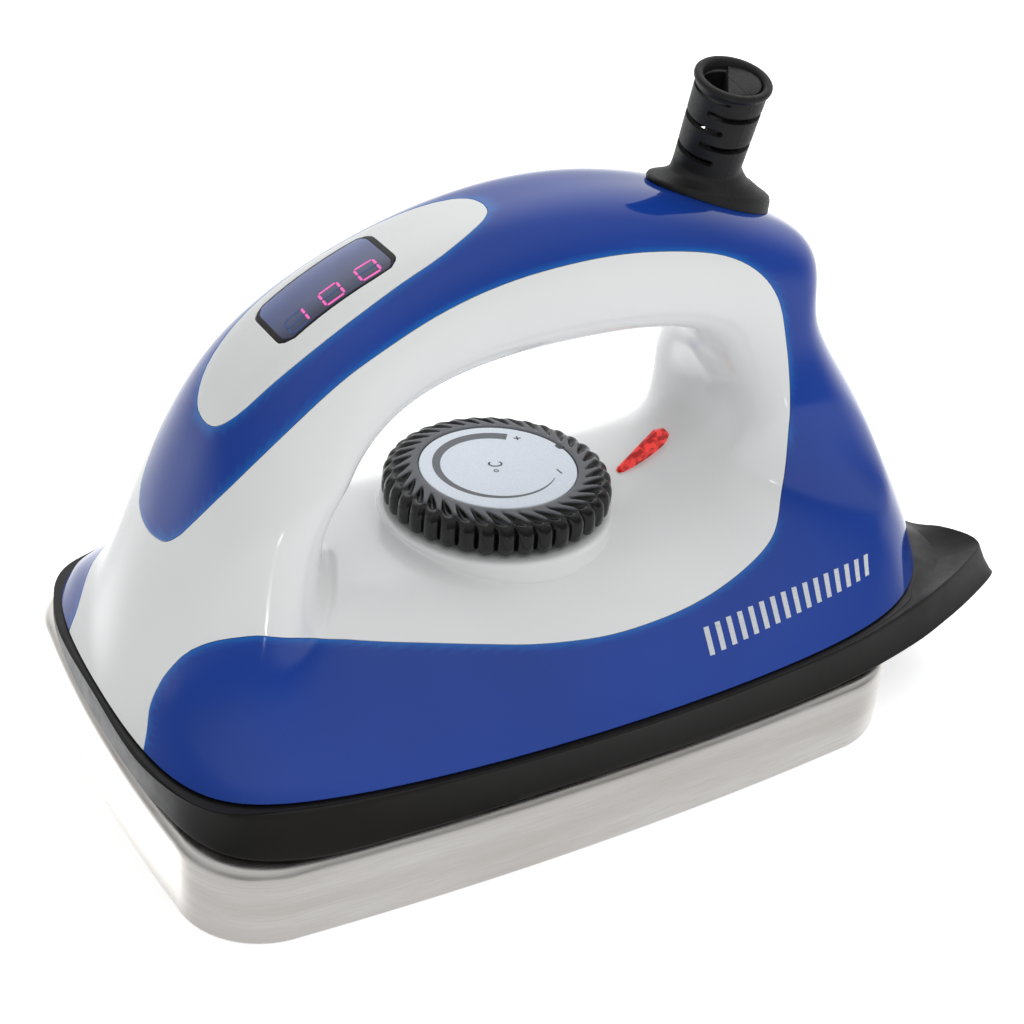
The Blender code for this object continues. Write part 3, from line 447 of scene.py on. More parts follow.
def white_look():
    return moulded("white_gloss", (0.745, 0.755, 0.752), 0.1, 0.015, 0.05, Coat_Weight=0.2, Coat_Roughness=0.05)


def black_look(name="skirt_black", roughness=0.34):
    return moulded(name, (0.0095, 0.0085, 0.0078), roughness, 0.25, 0.12, 0.12, Specular_IOR_Level=0.32)


def aluminium_look():
    """Milled side with brush lines along the edge, fine pitting, and scuffs."""
    look = shader("plate_aluminium", (0.66, 0.645, 0.62), 0.36, 1.0)
    lines = noise(look, 1.0, 4.0, 0.6, stretched(look, (110.0, 110.0, 4200.0)))
    broad = noise(look, 1.0, 2.0, 0.5, stretched(look, (16.0, 16.0, 160.0)))
    grit = noise(look, 1500.0, 2.0)
    tone = add_node(look, "ShaderNodeMath", {0: lines, 1: broad}, operation="MULTIPLY").outputs[0]
    link(look, blend(look, spread(look, tone, 0.0, 1.0, 0.12, 0.4), (0.80, 0.755, 0.71), (1.0, 0.97, 0.935)),
         "Base Color")
    link(look, spread(look, lines, 0.26, 0.5), "Roughness")
    brushed = bump(look, lines, 0.25, 0.05)
    link(look, bump(look, grit, 0.12, 0.03, brushed), "Normal")
    return look


def metal_look(name, colour, roughness=0.35):
    look = shader(name, colour, roughness, 1.0)
    marks = noise(look, 500.0, 4.0)
    link(look, spread(look, marks, roughness - 0.08, roughness + 0.15), "Roughness")
    link(look, blend(look, spread(look, noise(look, 90.0), 0.0, 1.0), tuple(c * 0.85 for c in colour), colour),
         "Base Color")
    link(look, bump(look, marks, 0.08, 0.03), "Normal")
    return look


def rubber_look():
    """Matt rubber with a fine grain and the mould's parting line down the middle plane."""
    look = shader("sleeve_rubber", (0.014, 0.0135, 0.013), 0.5, Specular_IOR_Level=0.32)
    fine = noise(look, 2400.0, 3.0)
    link(look, blend(look, spread(look, noise(look, 120.0), 0.0, 1.0), (0.010, 0.0098, 0.0095),
                     (0.018, 0.0175, 0.017)), "Base Color")
    link(look, spread(look, fine, 0.42, 0.6), "Roughness")
    place = add_node(look, "ShaderNodeTexCoord").outputs["Object"]
    across = add_node(look, "ShaderNodeSeparateXYZ", {"Vector": place}).outputs["X"]
    off = add_node(look, "ShaderNodeMath", {0: across, 1: TUBE_PLACE[0] * MM}, operation="SUBTRACT").outputs[0]
    off = add_node(look, "ShaderNodeMath", {0: off}, operation="ABSOLUTE").outputs[0]
    ridge = spread(look, off, 1.0, 0.0, 0.05 * MM, 0.16 * MM)
    grain = bump(look, fine, 0.15, 0.04)
    link(look, bump(look, ridge, 0.8, 0.12, grain), "Normal")
    return look


def knob_look():
    """Glossy black; the flat ridges between the scoops carry a pale painted reflection of the bright overhead."""
    look = moulded("knob_black", (0.005, 0.0045, 0.0043), 0.12, 0.2, 0.08)
    # painted reflection: pale colour on the flat ridges of the knob's top
    ridge_sheen = add_node(look, "ShaderNodeAttribute", attribute_name="ridge").outputs["Fac"]
    base = bsdf_of(look).inputs["Base Color"].links[0].from_socket
    link(look, blend(look, spread(look, ridge_sheen, 0.0, 1.0, 0.25, 1.0), base, (0.085, 0.087, 0.10)), "Base Color")
    return look


def dial_look():
    """Satin silver print with a fine metallic sparkle."""
    look = shader("dial_silver", (0.72, 0.77, 0.84), 0.38, 0.2)
    flakes = noise(look, 5200.0, 1.0)
    link(look, blend(look, spread(look, flakes, 0.0, 1.0, 0.35, 0.7), (0.66, 0.71, 0.785), (0.78, 0.83, 0.89)),
         "Base Color")
    link(look, spread(look, flakes, 0.3, 0.45), "Roughness")
    return look


def lens_look():
    """Clear red plastic, lit from below: brighter where it is thin, darker flecks inside."""
    look = shader("lens_red", (0.78, 0.012, 0.008), 0.05, Coat_Weight=0.6, Coat_Roughness=0.03,
                  Emission_Strength=0.22)
    flecks = spread(look, noise(look, 750.0, 2.0, 0.5), 0.0, 1.0, 0.4, 0.58)
    link(look, blend(look, flecks, (0.38, 0.004, 0.004), (0.92, 0.035, 0.03)), "Base Color")
    link(look, blend(look, flecks, (0.4, 0.006, 0.006), (1.0, 0.08, 0.06)), "Emission Color")
    return look


def window_look():
    """Smoked clear plastic over a dark module; its paler far long side is a painted reflection."""
    look = shader("window_smoked", (0.03, 0.05, 0.16), 0.05, Coat_Weight=1.0, Coat_Roughness=0.02)
    place = add_node(look, "ShaderNodeTexCoord").outputs["Object"]
    across = add_node(look, "ShaderNodeSeparateXYZ", {"Vector": place}).outputs["Y"]
    cloud = spread(look, noise(look, 110.0, 2.0), -0.08, 0.08)
    # painted reflection: the pane's colour grows paler towards its far long side
    share = spread(look, across, 0.0, 1.0, -5.5 * MM, 6.5 * MM)
    share = add_node(look, "ShaderNodeMath", {0: share, 1: cloud}, operation="ADD", use_clamp=True).outputs[0]
    link(look, blend(look, share, (0.008, 0.013, 0.06), (0.075, 0.115, 0.33)), "Base Color")
    return look


def glow_look(name, colour, strength):
    look = shader(name, tuple(c * 0.3 for c in colour), 0.15, Emission_Strength=strength)
    grain = noise(look, 1400.0, 2.0)
    link(look, blend(look, spread(look, grain, 0.0, 1.0), tuple(c * 0.75 for c in colour), colour), "Emission Color")
    return look


def print_look(name, colour, roughness=0.4):
    look = shader(name, colour, roughness)
    grain = noise(look, 2500.0, 2.0)
    link(look, blend(look, spread(look, grain, 0.0, 1.0), tuple(c * 0.85 for c in colour), colour), "Base Color")
    link(look, spread(look, grain, roughness - 0.05, roughness + 0.1), "Roughness")
    return look


# ---- body ----------------------------------------------------------------------------------------
def rib_points(row):
    """Seven cage points of one rib, from the finger opening out to the ridge or the foot."""
    kind, inner_x, inner_z, outer_x, outer_y, outer_z, bulge = row
    first = min(int(kind), 1)
    share = kind - first
    points = []
    for step in range(7):
        run_x, run_z, side = (SECTIONS[first][k][step] * (1 - share) + SECTIONS[first + 1][k][step] * share
                              for k in range(3))
        points.append((inner_x + (outer_x - inner_x) * run_x, -(bulge * side + outer_y * FOOT_SHARE[step]),
                       inner_z + (outer_z - inner_z) * run_z))
    return points


def body_surface():
    """The body's whole outer surface, smoothed: points, faces."""
    bm = bmesh.new()
    ribs = [[bm.verts.new(Vector(p) * MM) for p in rib_points(row)] for row in RIBS]
    for first, second in zip(ribs, ribs[1:] + ribs[:1]):
        for k in range(6):
            bm.faces.new((first[k], second[k], second[k + 1], first[k + 1]))
    mesh = bpy.data.meshes.new("cage")
    bm.to_mesh(mesh)
    bm.free()
    cage = bpy.data.objects.new("cage", mesh)
    bpy.context.scene.collection.objects.link(cage)
    mirror = cage.modifiers.new("mirror", "MIRROR")
    mirror.use_axis = (False, True, False)
    mirror.use_clip = True
    mirror.merge_threshold = 0.0001
    smooth = cage.modifiers.new("smooth", "SUBSURF")
    smooth.levels = SMOOTH_LEVEL
    smooth.render_levels = SMOOTH_LEVEL
    graph = bpy.context.evaluated_depsgraph_get()
    fine = bpy.data.meshes.new_from_object(cage.evaluated_get(graph))
    points = np.array([tuple(v.co) for v in fine.vertices]) / MM
    faces = [list(p.vertices) for p in fine.polygons]
    bpy.data.objects.remove(cage)
    bpy.data.meshes.remove(fine)
    return points, faces


def relax(points, faces, rounds):
    """Evens out the surface round the creases of each flank, less and less away from them."""
    pairs = np.array(sorted({(min(a, b), max(a, b)) for face in faces for a, b in zip(face, face[1:] + face[:1])}))
    both = np.vstack([pairs, pairs[:, ::-1]])
    count = np.bincount(both[:, 0], minlength=len(points))[:, None]
    weight = np.zeros(len(points))
    for centre, reach in CREASES:
        away = np.linalg.norm(fold(points) - np.array(centre), axis=1)
        weight = np.maximum(weight, step_up(reach, reach * 0.45, away))
    weight = (weight * step_up(27.0, 31.0, points[:, 2]))[:, None]
    for _ in range(rounds):
        total = np.zeros_like(points)
        np.add.at(total, both[:, 0], points[both[:, 1]])
        points = points + 0.5 * weight * (total / count - points)
    return points


def colour_line():
    """The whole edge between the shells, from the nose's far foot round the body to its near foot."""
    far = [(x, -y, z) for x, y, z in COLOUR_EDGE]
    return smooth_line(FOOT_FAR[::-1] + far[::-1] + TONGUE_FAR[::-1] + TONGUE_NEAR + COLOUR_EDGE + FOOT_NEAR, 6)


def colour_field(points, faces, surface):
    """Distance from the edge between the shells, measured on the surface: above 0 on the blue side."""
    found = [surface.find_nearest(Vector(p)) for p in colour_line()]
    line = np.array([tuple(f[0]) for f in found])
    normals = np.array([tuple(f[1]) for f in found])
    place, segment, gap = nearest_on_line(points, line, False)
    runs = line[segment + 1] - line[segment]
    side = np.einsum("ij,ij->i", np.cross(points - place, runs), normals[segment])
    sign = np.where(side < 0, 1.0, -1.0)
    # far from the edge a point takes the side of its neighbours
    sure = gap < 5.0
    links = [[] for _ in points]
    for face in faces:
        for a, b in zip(face, face[1:] + face[:1]):
            links[a].append(b)
            links[b].append(a)
    queue = [i for i in range(len(points)) if sure[i]]
    while queue:
        following = []
        for i in queue:
            for j in links[i]:
                if not sure[j]:
                    sure[j] = True
                    sign[j] = sign[i]
                    following.append(j)
        queue = following
    return sign * gap


def ridge_coordinates(points):
    """Along the ridge, across it, and out of it, in the display's frame."""
    c, s = math.cos(DISPLAY_TILT), math.sin(DISPLAY_TILT)
    x = points[:, 0] - DISPLAY_CENTRE[0]
    z = points[:, 2] - DISPLAY_CENTRE[1]
    return x * c + z * s, points[:, 1], -x * s + z * c


def on_ridge(along, across, out):
    c, s = math.cos(DISPLAY_TILT), math.sin(DISPLAY_TILT)
    return (DISPLAY_CENTRE[0] + along * c - out * s, across, DISPLAY_CENTRE[1] + along * s + out * c)


def outline_field(points, outline, shift=0.0):
    """Signed distance to an outline on the ridge, and well outside it everywhere below the ridge."""
    along, across, out = ridge_coordinates(points)
    flat = np.column_stack([along, across + shift])
    return np.where(out > -13.0, inside_outline(flat, outline), -20.0)


def leaf_outline():
    half = smooth_line(LEAF, 6)
    half[:, 1] = np.maximum(half[:, 1] - LEAF_SHIFT, 0.0)
    return np.vstack([half, (half * (1, -1))[-2:0:-1]])


def rounded_rectangle(length, width, corner, steps):
    outline = []
    for quarter, (sx, sy) in enumerate(((1, 1), (-1, 1), (-1, -1), (1, -1))):
        for step in range(steps + 1):
            angle = math.pi / 2 * (quarter + step / steps)
            outline.append((sx * (length / 2 - corner) + corner * math.cos(angle),
                            sy * (width / 2 - corner) + corner * math.sin(angle)))
    return np.array(outline)


def shell(name, points, faces, look, wall, replaces, rim=None):
    mesh = mesh_from(name, points, faces)
    if rim is not None:
        attribute = mesh.attributes.new("rim", "FLOAT", "POINT")
        attribute.data.foreach_set("value", rim.astype(np.float32))
    mesh.shade_smooth()
    obj = piece(name, mesh, look, "iron", replaces)
    thicken = obj.modifiers.new("wall", "SOLIDIFY")
    thicken.thickness = wall * MM
    thicken.offset = -1.0
    thicken.use_even_offset = True
    add_bevel(obj, EDGE_ROUND, 2, 50.0)
    return obj


def make_body():
    points, faces = body_surface()
    points = relax(points, faces, 220)
    surface = BVHTree.FromPolygons([tuple(p) for p in points], faces)
    edge = colour_field(points, faces, surface)
    leaf = outline_field(points, leaf_outline(), LEAF_SHIFT)
    gap = SHELL_GAP / 2

    blue_points, blue_faces = clip(points, faces, edge - gap)
    outside_leaf = -outline_field(blue_points, leaf_outline(), LEAF_SHIFT) - gap
    blue_points, blue_faces = clip(blue_points, blue_faces, outside_leaf)
    # the blue is painted lighter and greener within 1.6 mm of its edges, standing in for light through the thin rim
    blue_surface_edge = np.minimum(nearest_on_line(blue_points, colour_line(), False)[2],
                                   np.abs(outline_field(blue_points, leaf_outline(), LEAF_SHIFT)))
    rim = np.clip(1.0 - blue_surface_edge / 1.6, 0.0, 1.0) ** 2
    shell("blue_shell", blue_points, blue_faces, blue_look(), SHELL_WALL, ("outer_housing",), rim)

    white = white_look()
    white_points, white_faces = clip(points, faces, -edge - gap)
    shell("white_shell", white_points, white_faces, white, SHELL_WALL, ("inner_housing",))
    make_boss(surface, white)

    leaf_points, leaf_faces = clip(points, faces, leaf - gap)
    window = rounded_rectangle(*WINDOW, 8)
    leaf_points, leaf_faces = clip(leaf_points, leaf_faces, -outline_field(leaf_points, window) - 0.12)
    shell("display_cover_shell", leaf_points, leaf_faces, white, SHELL_WALL, ("display_cover",))
    make_window(points, faces, window, surface)
    return surface


def fold(points):
    folded = points.copy()
    folded[:, 1] = -np.abs(folded[:, 1])
    return folded


def floor_height(surface, x, y):
    found = surface.ray_cast(Vector((x, y, 62.0)), Vector((0.0, 0.0, -1.0)))
    return found[0].z if found[0] is not None else 40.0


def make_boss(surface, look):
    """Round boss under the knob: a flat top, a rounded edge and a wall that runs out into the floor."""
    sides = 144
    rings = []
    tops = [(3.2, BOSS_TOP - 1.5), (3.2, BOSS_TOP), (12.0, BOSS_TOP), (22.6, BOSS_TOP), (23.2, BOSS_TOP - 0.08),
            (23.6, BOSS_TOP - 0.3), (23.8, BOSS_TOP - 0.65)]
    for radius, z in tops:
        rings.append([(KNOB_X + radius * math.cos(a), radius * math.sin(a), z) for a in angles(sides)])
    for share in (0.25, 0.5, 0.7, 0.85, 1.0):
        ring = []
        for a in angles(sides):
            radius = 23.8 + 0.7 * share ** 3
            x, y = KNOB_X + radius * math.cos(a), radius * math.sin(a)
            low = min(floor_height(surface, x, y), BOSS_TOP - 0.5)
            ring.append((x, y, (BOSS_TOP - 0.65) * (1 - share) + (low - 0.25) * share))
        rings.append(ring)
    points, faces = loft([np.array(r) for r in rings])
    mesh = mesh_from("knob_boss", points, faces)
    tidy_normals(mesh)
    shade(mesh, 60.0)
    piece("knob_boss", mesh, look, "iron", ())


def angles(count):
    return [2 * math.pi * i / count for i in range(count)]


def make_window(points, faces, window, surface):
    """Smoked pane with a dark frame round it, flush with the cover, and the figures behind it."""
    inner = rounded_rectangle(WINDOW[0] - 1.9, WINDOW[1] - 0.7, WINDOW[2] - 0.5, 8)
    field = outline_field(points, window)
    pane_points, pane_faces = clip(points, faces, field - 0.02)
    frame_points, frame_faces = clip(pane_points, pane_faces, -outline_field(pane_points, inner))
    shell("window_frame", frame_points, frame_faces, black_look("window_black", 0.2), 1.2, ())
    glass_points, glass_faces = clip(pane_points, pane_faces, outline_field(pane_points, inner))
    shell("window_pane", glass_points, glass_faces, window_look(), 1.0, ("display_window",))
    make_digits(surface)


# ---- figures in the display ----------------------------------------------------------------------
# Seven bars of a figure: middle (across, up) and whether it lies across, in units of the figure.
BARS = {"top": (0.0, 1.0, True), "middle": (0.0, 0.0, True), "bottom": (0.0, -1.0, True),
        "upper_left": (-1.0, 0.5, False), "upper_right": (1.0, 0.5, False),
        "lower_left": (-1.0, -0.5, False), "lower_right": (1.0, -0.5, False)}
ZERO = ("top", "bottom", "upper_left", "upper_right", "lower_left", "lower_right")
ONE = ("upper_right", "lower_right")


def bar_outline(lies, half_length, half_width):
    tip = half_width
    outline = [(-half_length, 0.0), (-half_length + tip, half_width), (half_length - tip, half_width),
               (half_length, 0.0), (half_length - tip, -half_width), (-half_length + tip, -half_width)]
    return outline if lies else [(y, x) for x, y in outline]


def make_digits(surface):
    """Three seven-bar figures that show 100; the unlit bars are faintly blue with a painted glow."""
    lit, dark = [], []
    half_wide, half_high, lean = 1.95, 1.95, 0.06
    for place, figure in ((-7.9, ONE), (-0.2, ZERO), (7.4, ZERO)):
        for name, (across, up, lies) in BARS.items():
            length = (half_wide if lies else half_high / 2) - 0.1
            outline = bar_outline(lies, length, 0.24)
            cell = [(place + across * half_wide + u + (up * half_high + v) * lean, -4.0 + up * half_high + v)
                    for u, v in outline]
            (lit if name in figure else dark).append(cell)
    # the unlit bars' faint blue glow is painted light: they are not lit
    for name, cells, look in (("figures_lit", lit, glow_look("figure_glow", (0.9, 0.13, 0.5), 0.9)),
                              ("figures_unlit", dark, glow_look("figure_unlit", (0.05, 0.12, 0.35), 0.35))):
        points, faces = [], []
        for cell in cells:
            base = len(points)
            for along, across in cell:
                points.append(drop_on_ridge(surface, along, across, 0.04))
            faces.append(list(range(base, base + len(cell))))
        mesh = mesh_from(name, np.array(points), faces)
        piece(name, mesh, look, "iron", ())


def drop_on_ridge(surface, along, across, lift):
    """The place on the body's surface that faces a place on the display, lifted a little."""
    start = Vector(on_ridge(along, across, 30.0))
    direction = Vector((math.sin(DISPLAY_TILT), 0.0, -math.cos(DISPLAY_TILT)))
    place, normal, _, _ = surface.ray_cast(start, direction)
    if normal.dot(direction) > 0:
        normal = -normal
    return tuple(place + normal * lift)


# ---- sole plate ----------------------------------------------------------------------------------
def plate_outline(inset):
    """Rounded rectangle with slightly bowed sides, anticlockwise from the nose's near corner."""
    half_length, half_width, corner = 80.0 - inset, 54.0 - inset, 19.2 - inset
    nose_bow, side_bow, heel_bow = 1.8, 2.3, 0.8
    cx, cy = half_length - corner, half_width - corner
    outline = []

    def side(first, last, place):
        for s in np.linspace(first, last, 41):
            outline.append(place(s))

    def turn(start, centre_x, centre_y, radius_x, radius_y):
        for a in np.linspace(start, start + math.pi / 2, 15)[1:-1]:
            outline.append((centre_x + radius_x * math.cos(a), centre_y + radius_y * math.sin(a)))

    side(-1, 1, lambda s: (cx * s, -half_width + side_bow * s * s))
    turn(-math.pi / 2, cx, -cy, corner - heel_bow, corner - side_bow)
    side(-1, 1, lambda s: (half_length - heel_bow * s * s, cy * s))
    turn(0.0, cx, cy, corner - heel_bow, corner - side_bow)
    side(1, -1, lambda s: (cx * s, half_width - side_bow * s * s))
    turn(math.pi / 2, -cx, cy, corner - nose_bow, corner - side_bow)
    side(1, -1, lambda s: (-half_length + nose_bow * s * s, cy * s))
    turn(math.pi, -cx, -cy, corner - nose_bow, corner - side_bow)
    return np.array(outline)


def make_plate():
    profile = [(1.6, 0.0), (0.7, 0.12), (0.22, 0.45), (0.0, 1.1), (0.0, 7.5), (0.0, 14.6), (0.1, 15.2), (0.4, 15.8),
               (0.9, 16.3), (1.6, 16.6), (2.4, 16.7), (4.6, 16.7), (5.0, 16.4), (5.0, 12.0)]
    rings = []
    for inset, z in profile:
        flat = plate_outline(inset)
        rings.append(np.column_stack([flat, np.full(len(flat), z)]))
    points, faces = loft(rings, True, (True, True))
    mesh = mesh_from("sole_plate_milled", points, faces)
    tidy_normals(mesh)
    shade(mesh, 30.0)
    piece("sole_plate_milled", mesh, aluminium_look(), "iron", ("sole_plate",))


# ---- skirt ---------------------------------------------------------------------------------------
def nearest_foot(x, y):
    """The place on the body's foot outline that faces a place on the skirt."""
    outline = [(row[3], row[4]) for row in RIBS[14:] + RIBS[:1]]
    place, _, _ = nearest_on_line(np.array([(x, y)], float), np.array(outline, float), False)
    return Vector((place[0][0], 0.0 if y == 0 else place[0][1]))


def skirt_section(row):
    """Cross-section, from inside bottom round the outside: lip, hollow face, top edge, and the shelf."""
    low = Vector(row[:3])
    top = Vector(row[3:])
    foot = nearest_foot(top.x, top.y)
    inward = -foot.normalized() if foot.y else Vector((-math.copysign(1, foot.x), 0.0))
    flat_in = Vector((inward.x, inward.y, 0.0))
    inner = foot + inward * 5.5
    low_inner = Vector((low.x, low.y)) + inward * 4.2
    if foot.x > HEEL_STARTS:
        inner.x = min(inner.x, HEEL_INNER)
        low_inner = inner
    reach = Vector((top.x, top.y)) - foot
    sag = min(2.4, reach.length * 0.17)
    edge = low + Vector((0, 0, 0.75))
    face_low = edge.lerp(top, 0.12) + flat_in * 0.12
    face_mid = edge.lerp(top, 0.5) + flat_in * 0.4
    face_high = edge.lerp(top, 0.88) + flat_in * 0.22

    def across(share, drop):
        spot = foot + reach * share
        return Vector((spot.x, spot.y, SHELF + (top.z - SHELF) * share - drop))

    return [
        Vector((low_inner.x, low_inner.y, low.z - 0.5)), low + flat_in * 1.35 - Vector((0, 0, 0.5)),
        low + flat_in * 1.15 + Vector((0, 0, 0.5)), edge + flat_in * 0.3 - Vector((0, 0, 0.12)), edge,
        edge + Vector((0, 0, 0.22)), face_low, face_mid, face_high, top - Vector((0, 0, 0.3)), top + flat_in * 0.3,
        across(0.72, sag * 0.75), across(0.4, sag), across(0.12, sag * 0.4),
        Vector((foot.x, foot.y, SHELF)) - flat_in * 0.3, Vector((foot.x, foot.y, SHELF)) + flat_in * 2.8,
        Vector((inner.x, inner.y, 22.9)),
    ]


def make_skirt():
    half = [skirt_section(row) for row in SKIRT]
    loop = [[Vector((p.x, -p.y, p.z)) for p in section] for section in half] + half[-2:0:-1]
    count = len(half[0])
    rails = [smooth_line([tuple(section[k]) for section in loop], 8, True) for k in range(count)]
    rings = [np.array([rails[k][i] for k in range(count)]) for i in range(len(rails[0]))]
    rings.append(rings[0])
    points, faces = loft(rings)
    last = (len(rings) - 1) * count
    faces = [[v - last if v >= last else v for v in face] for face in faces]
    mesh = mesh_from("skirt_moulded", points[:last], faces)
    tidy_normals(mesh)
    shade(mesh, 28.0)
    obj = piece("skirt_moulded", mesh, black_look(), "iron", ("base_skirt",))
    add_bevel(obj, 0.12, 2, 30.0)


# ---- knob ----------------------------------------------------------------------------------------
def valley(phase):
    """1 in the narrow valley between two lobes of the wall, 0 on the lobes."""
    return 1.0 - abs(math.sin(math.pi * phase)) ** 0.5


def scoop(phase, narrow):
    """1 in the middle of a scoop on the sloping top, 0 on the flat ridges, wider as narrow grows."""
    rise = math.sin(math.pi * (phase % 1.0)) ** 2
    return (max(0.0, rise - narrow) / (1.0 - narrow)) ** 0.8


def make_knob():
    """Knob with rounded lobes down its wall, and slanted scoops above them on its sloping top."""
    # radius, z, valley depth, scoop depth, width of the ridges between the scoops, twist in lobes
    profile = [
        (19.0, 48.6, 0.0, 0.0, 0.0, 0.0), (19.6, 47.5, 0.2, 0.0, 0.0, 0.0), (21.4, 47.4, 0.9, 0.0, 0.0, 0.0),
        (22.6, 47.55, 1.3, 0.0, 0.0, 0.0), (22.95, 48.1, 1.5, 0.0, 0.0, 0.0), (23.05, 49.2, 1.55, 0.0, 0.0, 0.0),
        (23.05, 50.6, 1.55, 0.0, 0.0, 0.0), (22.95, 51.5, 1.5, 0.0, 0.0, 0.0), (22.7, 52.25, 1.35, 0.0, 0.0, -0.02),
        (22.3, 52.85, 1.15, 0.0, 0.0, -0.05), (21.8, 53.28, 0.85, 0.05, 0.0, -0.1), (21.3, 53.54, 0.5, 0.25, 0.0, -0.17),
        (20.8, 53.72, 0.2, 0.6, 0.04, -0.26), (20.2, 53.86, 0.0, 0.9, 0.1, -0.38), (19.6, 53.95, 0.0, 1.0, 0.2, -0.52),
        (19.0, 54.0, 0.0, 0.95, 0.33, -0.68), (18.5, 54.04, 0.0, 0.75, 0.47, -0.83), (18.05, 54.07, 0.0, 0.5, 0.62, -0.98),
        (17.65, 54.09, 0.0, 0.22, 0.76, -1.12), (17.3, KNOB_TOP, 0.0, 0.0, 0.8, -1.2), (16.6, KNOB_TOP, 0.0, 0.0, 0.0, 0.0),
        (16.2, KNOB_TOP, 0.0, 0.0, 0.0, 0.0), (16.02, KNOB_TOP - 0.12, 0.0, 0.0, 0.0, 0.0),
        (15.95, KNOB_TOP - 0.9, 0.0, 0.0, 0.0, 0.0),
    ]
    profile = profile[:8] + [tuple(row) for row in smooth_line(profile[8:20], 3)] + profile[20:]
    samples = 20
    count = KNOB_LOBES * samples
    rings, ridge_sheen = [], []
    for number, (radius, z, valley_depth, scoop_depth, narrow, twist) in enumerate(profile):
        # share of the pale painted reflection on the flat ridges of the top, none in the scoops
        ring_sheen = float(step_up(21.3, 20.0, radius)) * (z > KNOB_TOP - 1.0)
        before, after = profile[max(number - 1, 0)], profile[min(number + 1, len(profile) - 1)]
        run = Vector((after[0] - before[0], after[1] - before[1])).normalized()
        ring = []
        for i in range(count):
            angle = 2 * math.pi * i / count
            phase = i / samples - twist
            depth = valley_depth * valley(phase) + scoop_depth * scoop(phase, narrow)
            r, height = radius - run.y * depth, z + run.x * depth
            ring.append((KNOB_X + r * math.cos(angle), r * math.sin(angle), height))
            ridge_sheen.append(ring_sheen * max(0.0, 1.0 - 3.0 * scoop_depth * scoop(phase, narrow)))
        rings.append(np.array(ring))
    points, faces = loft(rings)
    mesh = mesh_from("knob_lobed", points, faces)
    mesh.attributes.new("ridge", "FLOAT", "POINT").data.foreach_set("value", ridge_sheen)
    tidy_normals(mesh)
    shade(mesh, 50.0)
    obj = piece("knob_lobed", mesh, knob_look(), "knob", ("knob_grip",))
    wall = obj.modifiers.new("wall", "SOLIDIFY")
    wall.thickness = 0.9 * MM
    wall.offset = -1.0
    make_dial()


def flat_ring(name, outline, z, look, height=0.03):
    """A thin printed shape on the dial, turning with the knob."""
    low = [(x, y, z) for x, y in outline]
    high = [(x, y, z + height) for x, y in outline]
    points, faces = loft([np.array(low), np.array(high)], True, (True, True))
    mesh = mesh_from(name, points, faces)
    tidy_normals(mesh)
    return piece(name, mesh, look, "knob", ())


def polar(radius, degrees):
    return (KNOB_X + radius * math.cos(math.radians(degrees)), radius * math.sin(math.radians(degrees)))


def stroke(points, width):
    """Outline of a line of points with a width, with square ends."""
    line = np.array(points, float)
    runs = np.gradient(line, axis=0)
    runs /= np.linalg.norm(runs, axis=1)[:, None]
    side = np.column_stack([-runs[:, 1], runs[:, 0]]) * width / 2
    return np.vstack([line + side, (line - side)[::-1]])


def make_dial():
    look = dial_look()
    profile = [(0.0, KNOB_TOP), (DIAL_RADIUS - 0.5, KNOB_TOP), (DIAL_RADIUS - 0.1, KNOB_TOP - 0.06),
               (DIAL_RADIUS, KNOB_TOP - 0.2), (DIAL_RADIUS, KNOB_TOP - 0.5)]
    rings = [np.array([(KNOB_X + r * math.cos(a), r * math.sin(a), z) for a in angles(120)]) for r, z in profile[1:]]
    points, faces = loft(rings, True, (True, True))
    mesh = mesh_from("dial_face", points, faces)
    tidy_normals(mesh)
    shade(mesh, 30.0)
    piece("dial_face", mesh, look, "knob", ("dial_disc",))

    ink = print_look("dial_ink", (0.13, 0.14, 0.155))
    black = print_look("dial_black", (0.03, 0.03, 0.032))
    # tapered arc from plus, round the far side of the knob, to minus
    turn = np.linspace(52.0, 314.0, 90)
    share = (turn - 52.0) / 262.0
    half = 1.12 * (1 - share) ** 0.9 + 0.07
    middle = 12.05 + 0.35 * np.cos(np.radians(turn - 120.0))
    outer = [polar(r, a) for r, a in zip(middle + half, turn)]
    inner = [polar(r, a) for r, a in zip(middle - half, turn)]
    flat_ring("dial_arc", outer + inner[::-1], KNOB_TOP, ink)
    text_turn = 72.0
    for name, where, strokes in (("plus", polar(12.4, 42.0), ((0.0, 1.5), (90.0, 1.5))),
                                 ("minus", polar(12.2, -33.0), ((20.0, 1.8),))):
        for number, (turned, length) in enumerate(strokes):
            a = math.radians(turned + text_turn)
            run = np.array((math.cos(a), math.sin(a))) * length / 2
            line = np.array([where - run, where, where + run])
            flat_ring(f"dial_{name}_{number}", stroke(line, 0.3), KNOB_TOP, black, 0.035 + 0.005 * number)
    a = math.radians(text_turn)
    reading, upward = np.array((math.cos(a), math.sin(a))), np.array((-math.sin(a), math.cos(a)))
    centre = np.array((KNOB_X - 0.1, 1.0))
    sweep = np.radians(np.linspace(45.0, 315.0, 30))
    letter = [centre + reading * 0.95 * math.cos(t) + upward * 1.3 * math.sin(t) for t in sweep]
    flat_ring("dial_unit_c", stroke(letter, 0.36), KNOB_TOP, black, 0.035)
    ring_centre = np.array((KNOB_X - 0.8, -1.6)) + upward * 0.5
    circle = [ring_centre + 0.42 * np.array((math.cos(t), math.sin(t))) for t in np.linspace(0, 2 * math.pi, 25)[:-1]]
    line = np.array(circle + circle[:1])
    flat_ring("dial_unit_degree", stroke(line, 0.22), KNOB_TOP, black, 0.035)
    tab = [polar(r, a) for r, a in ((16.4, 8.5), (15.4, 10.5), (14.9, 9.4), (15.0, 4.6), (15.5, 3.6), (16.4, 4.8))]
    flat_ring("dial_tab", tab, KNOB_TOP - 0.2, black, 0.3)


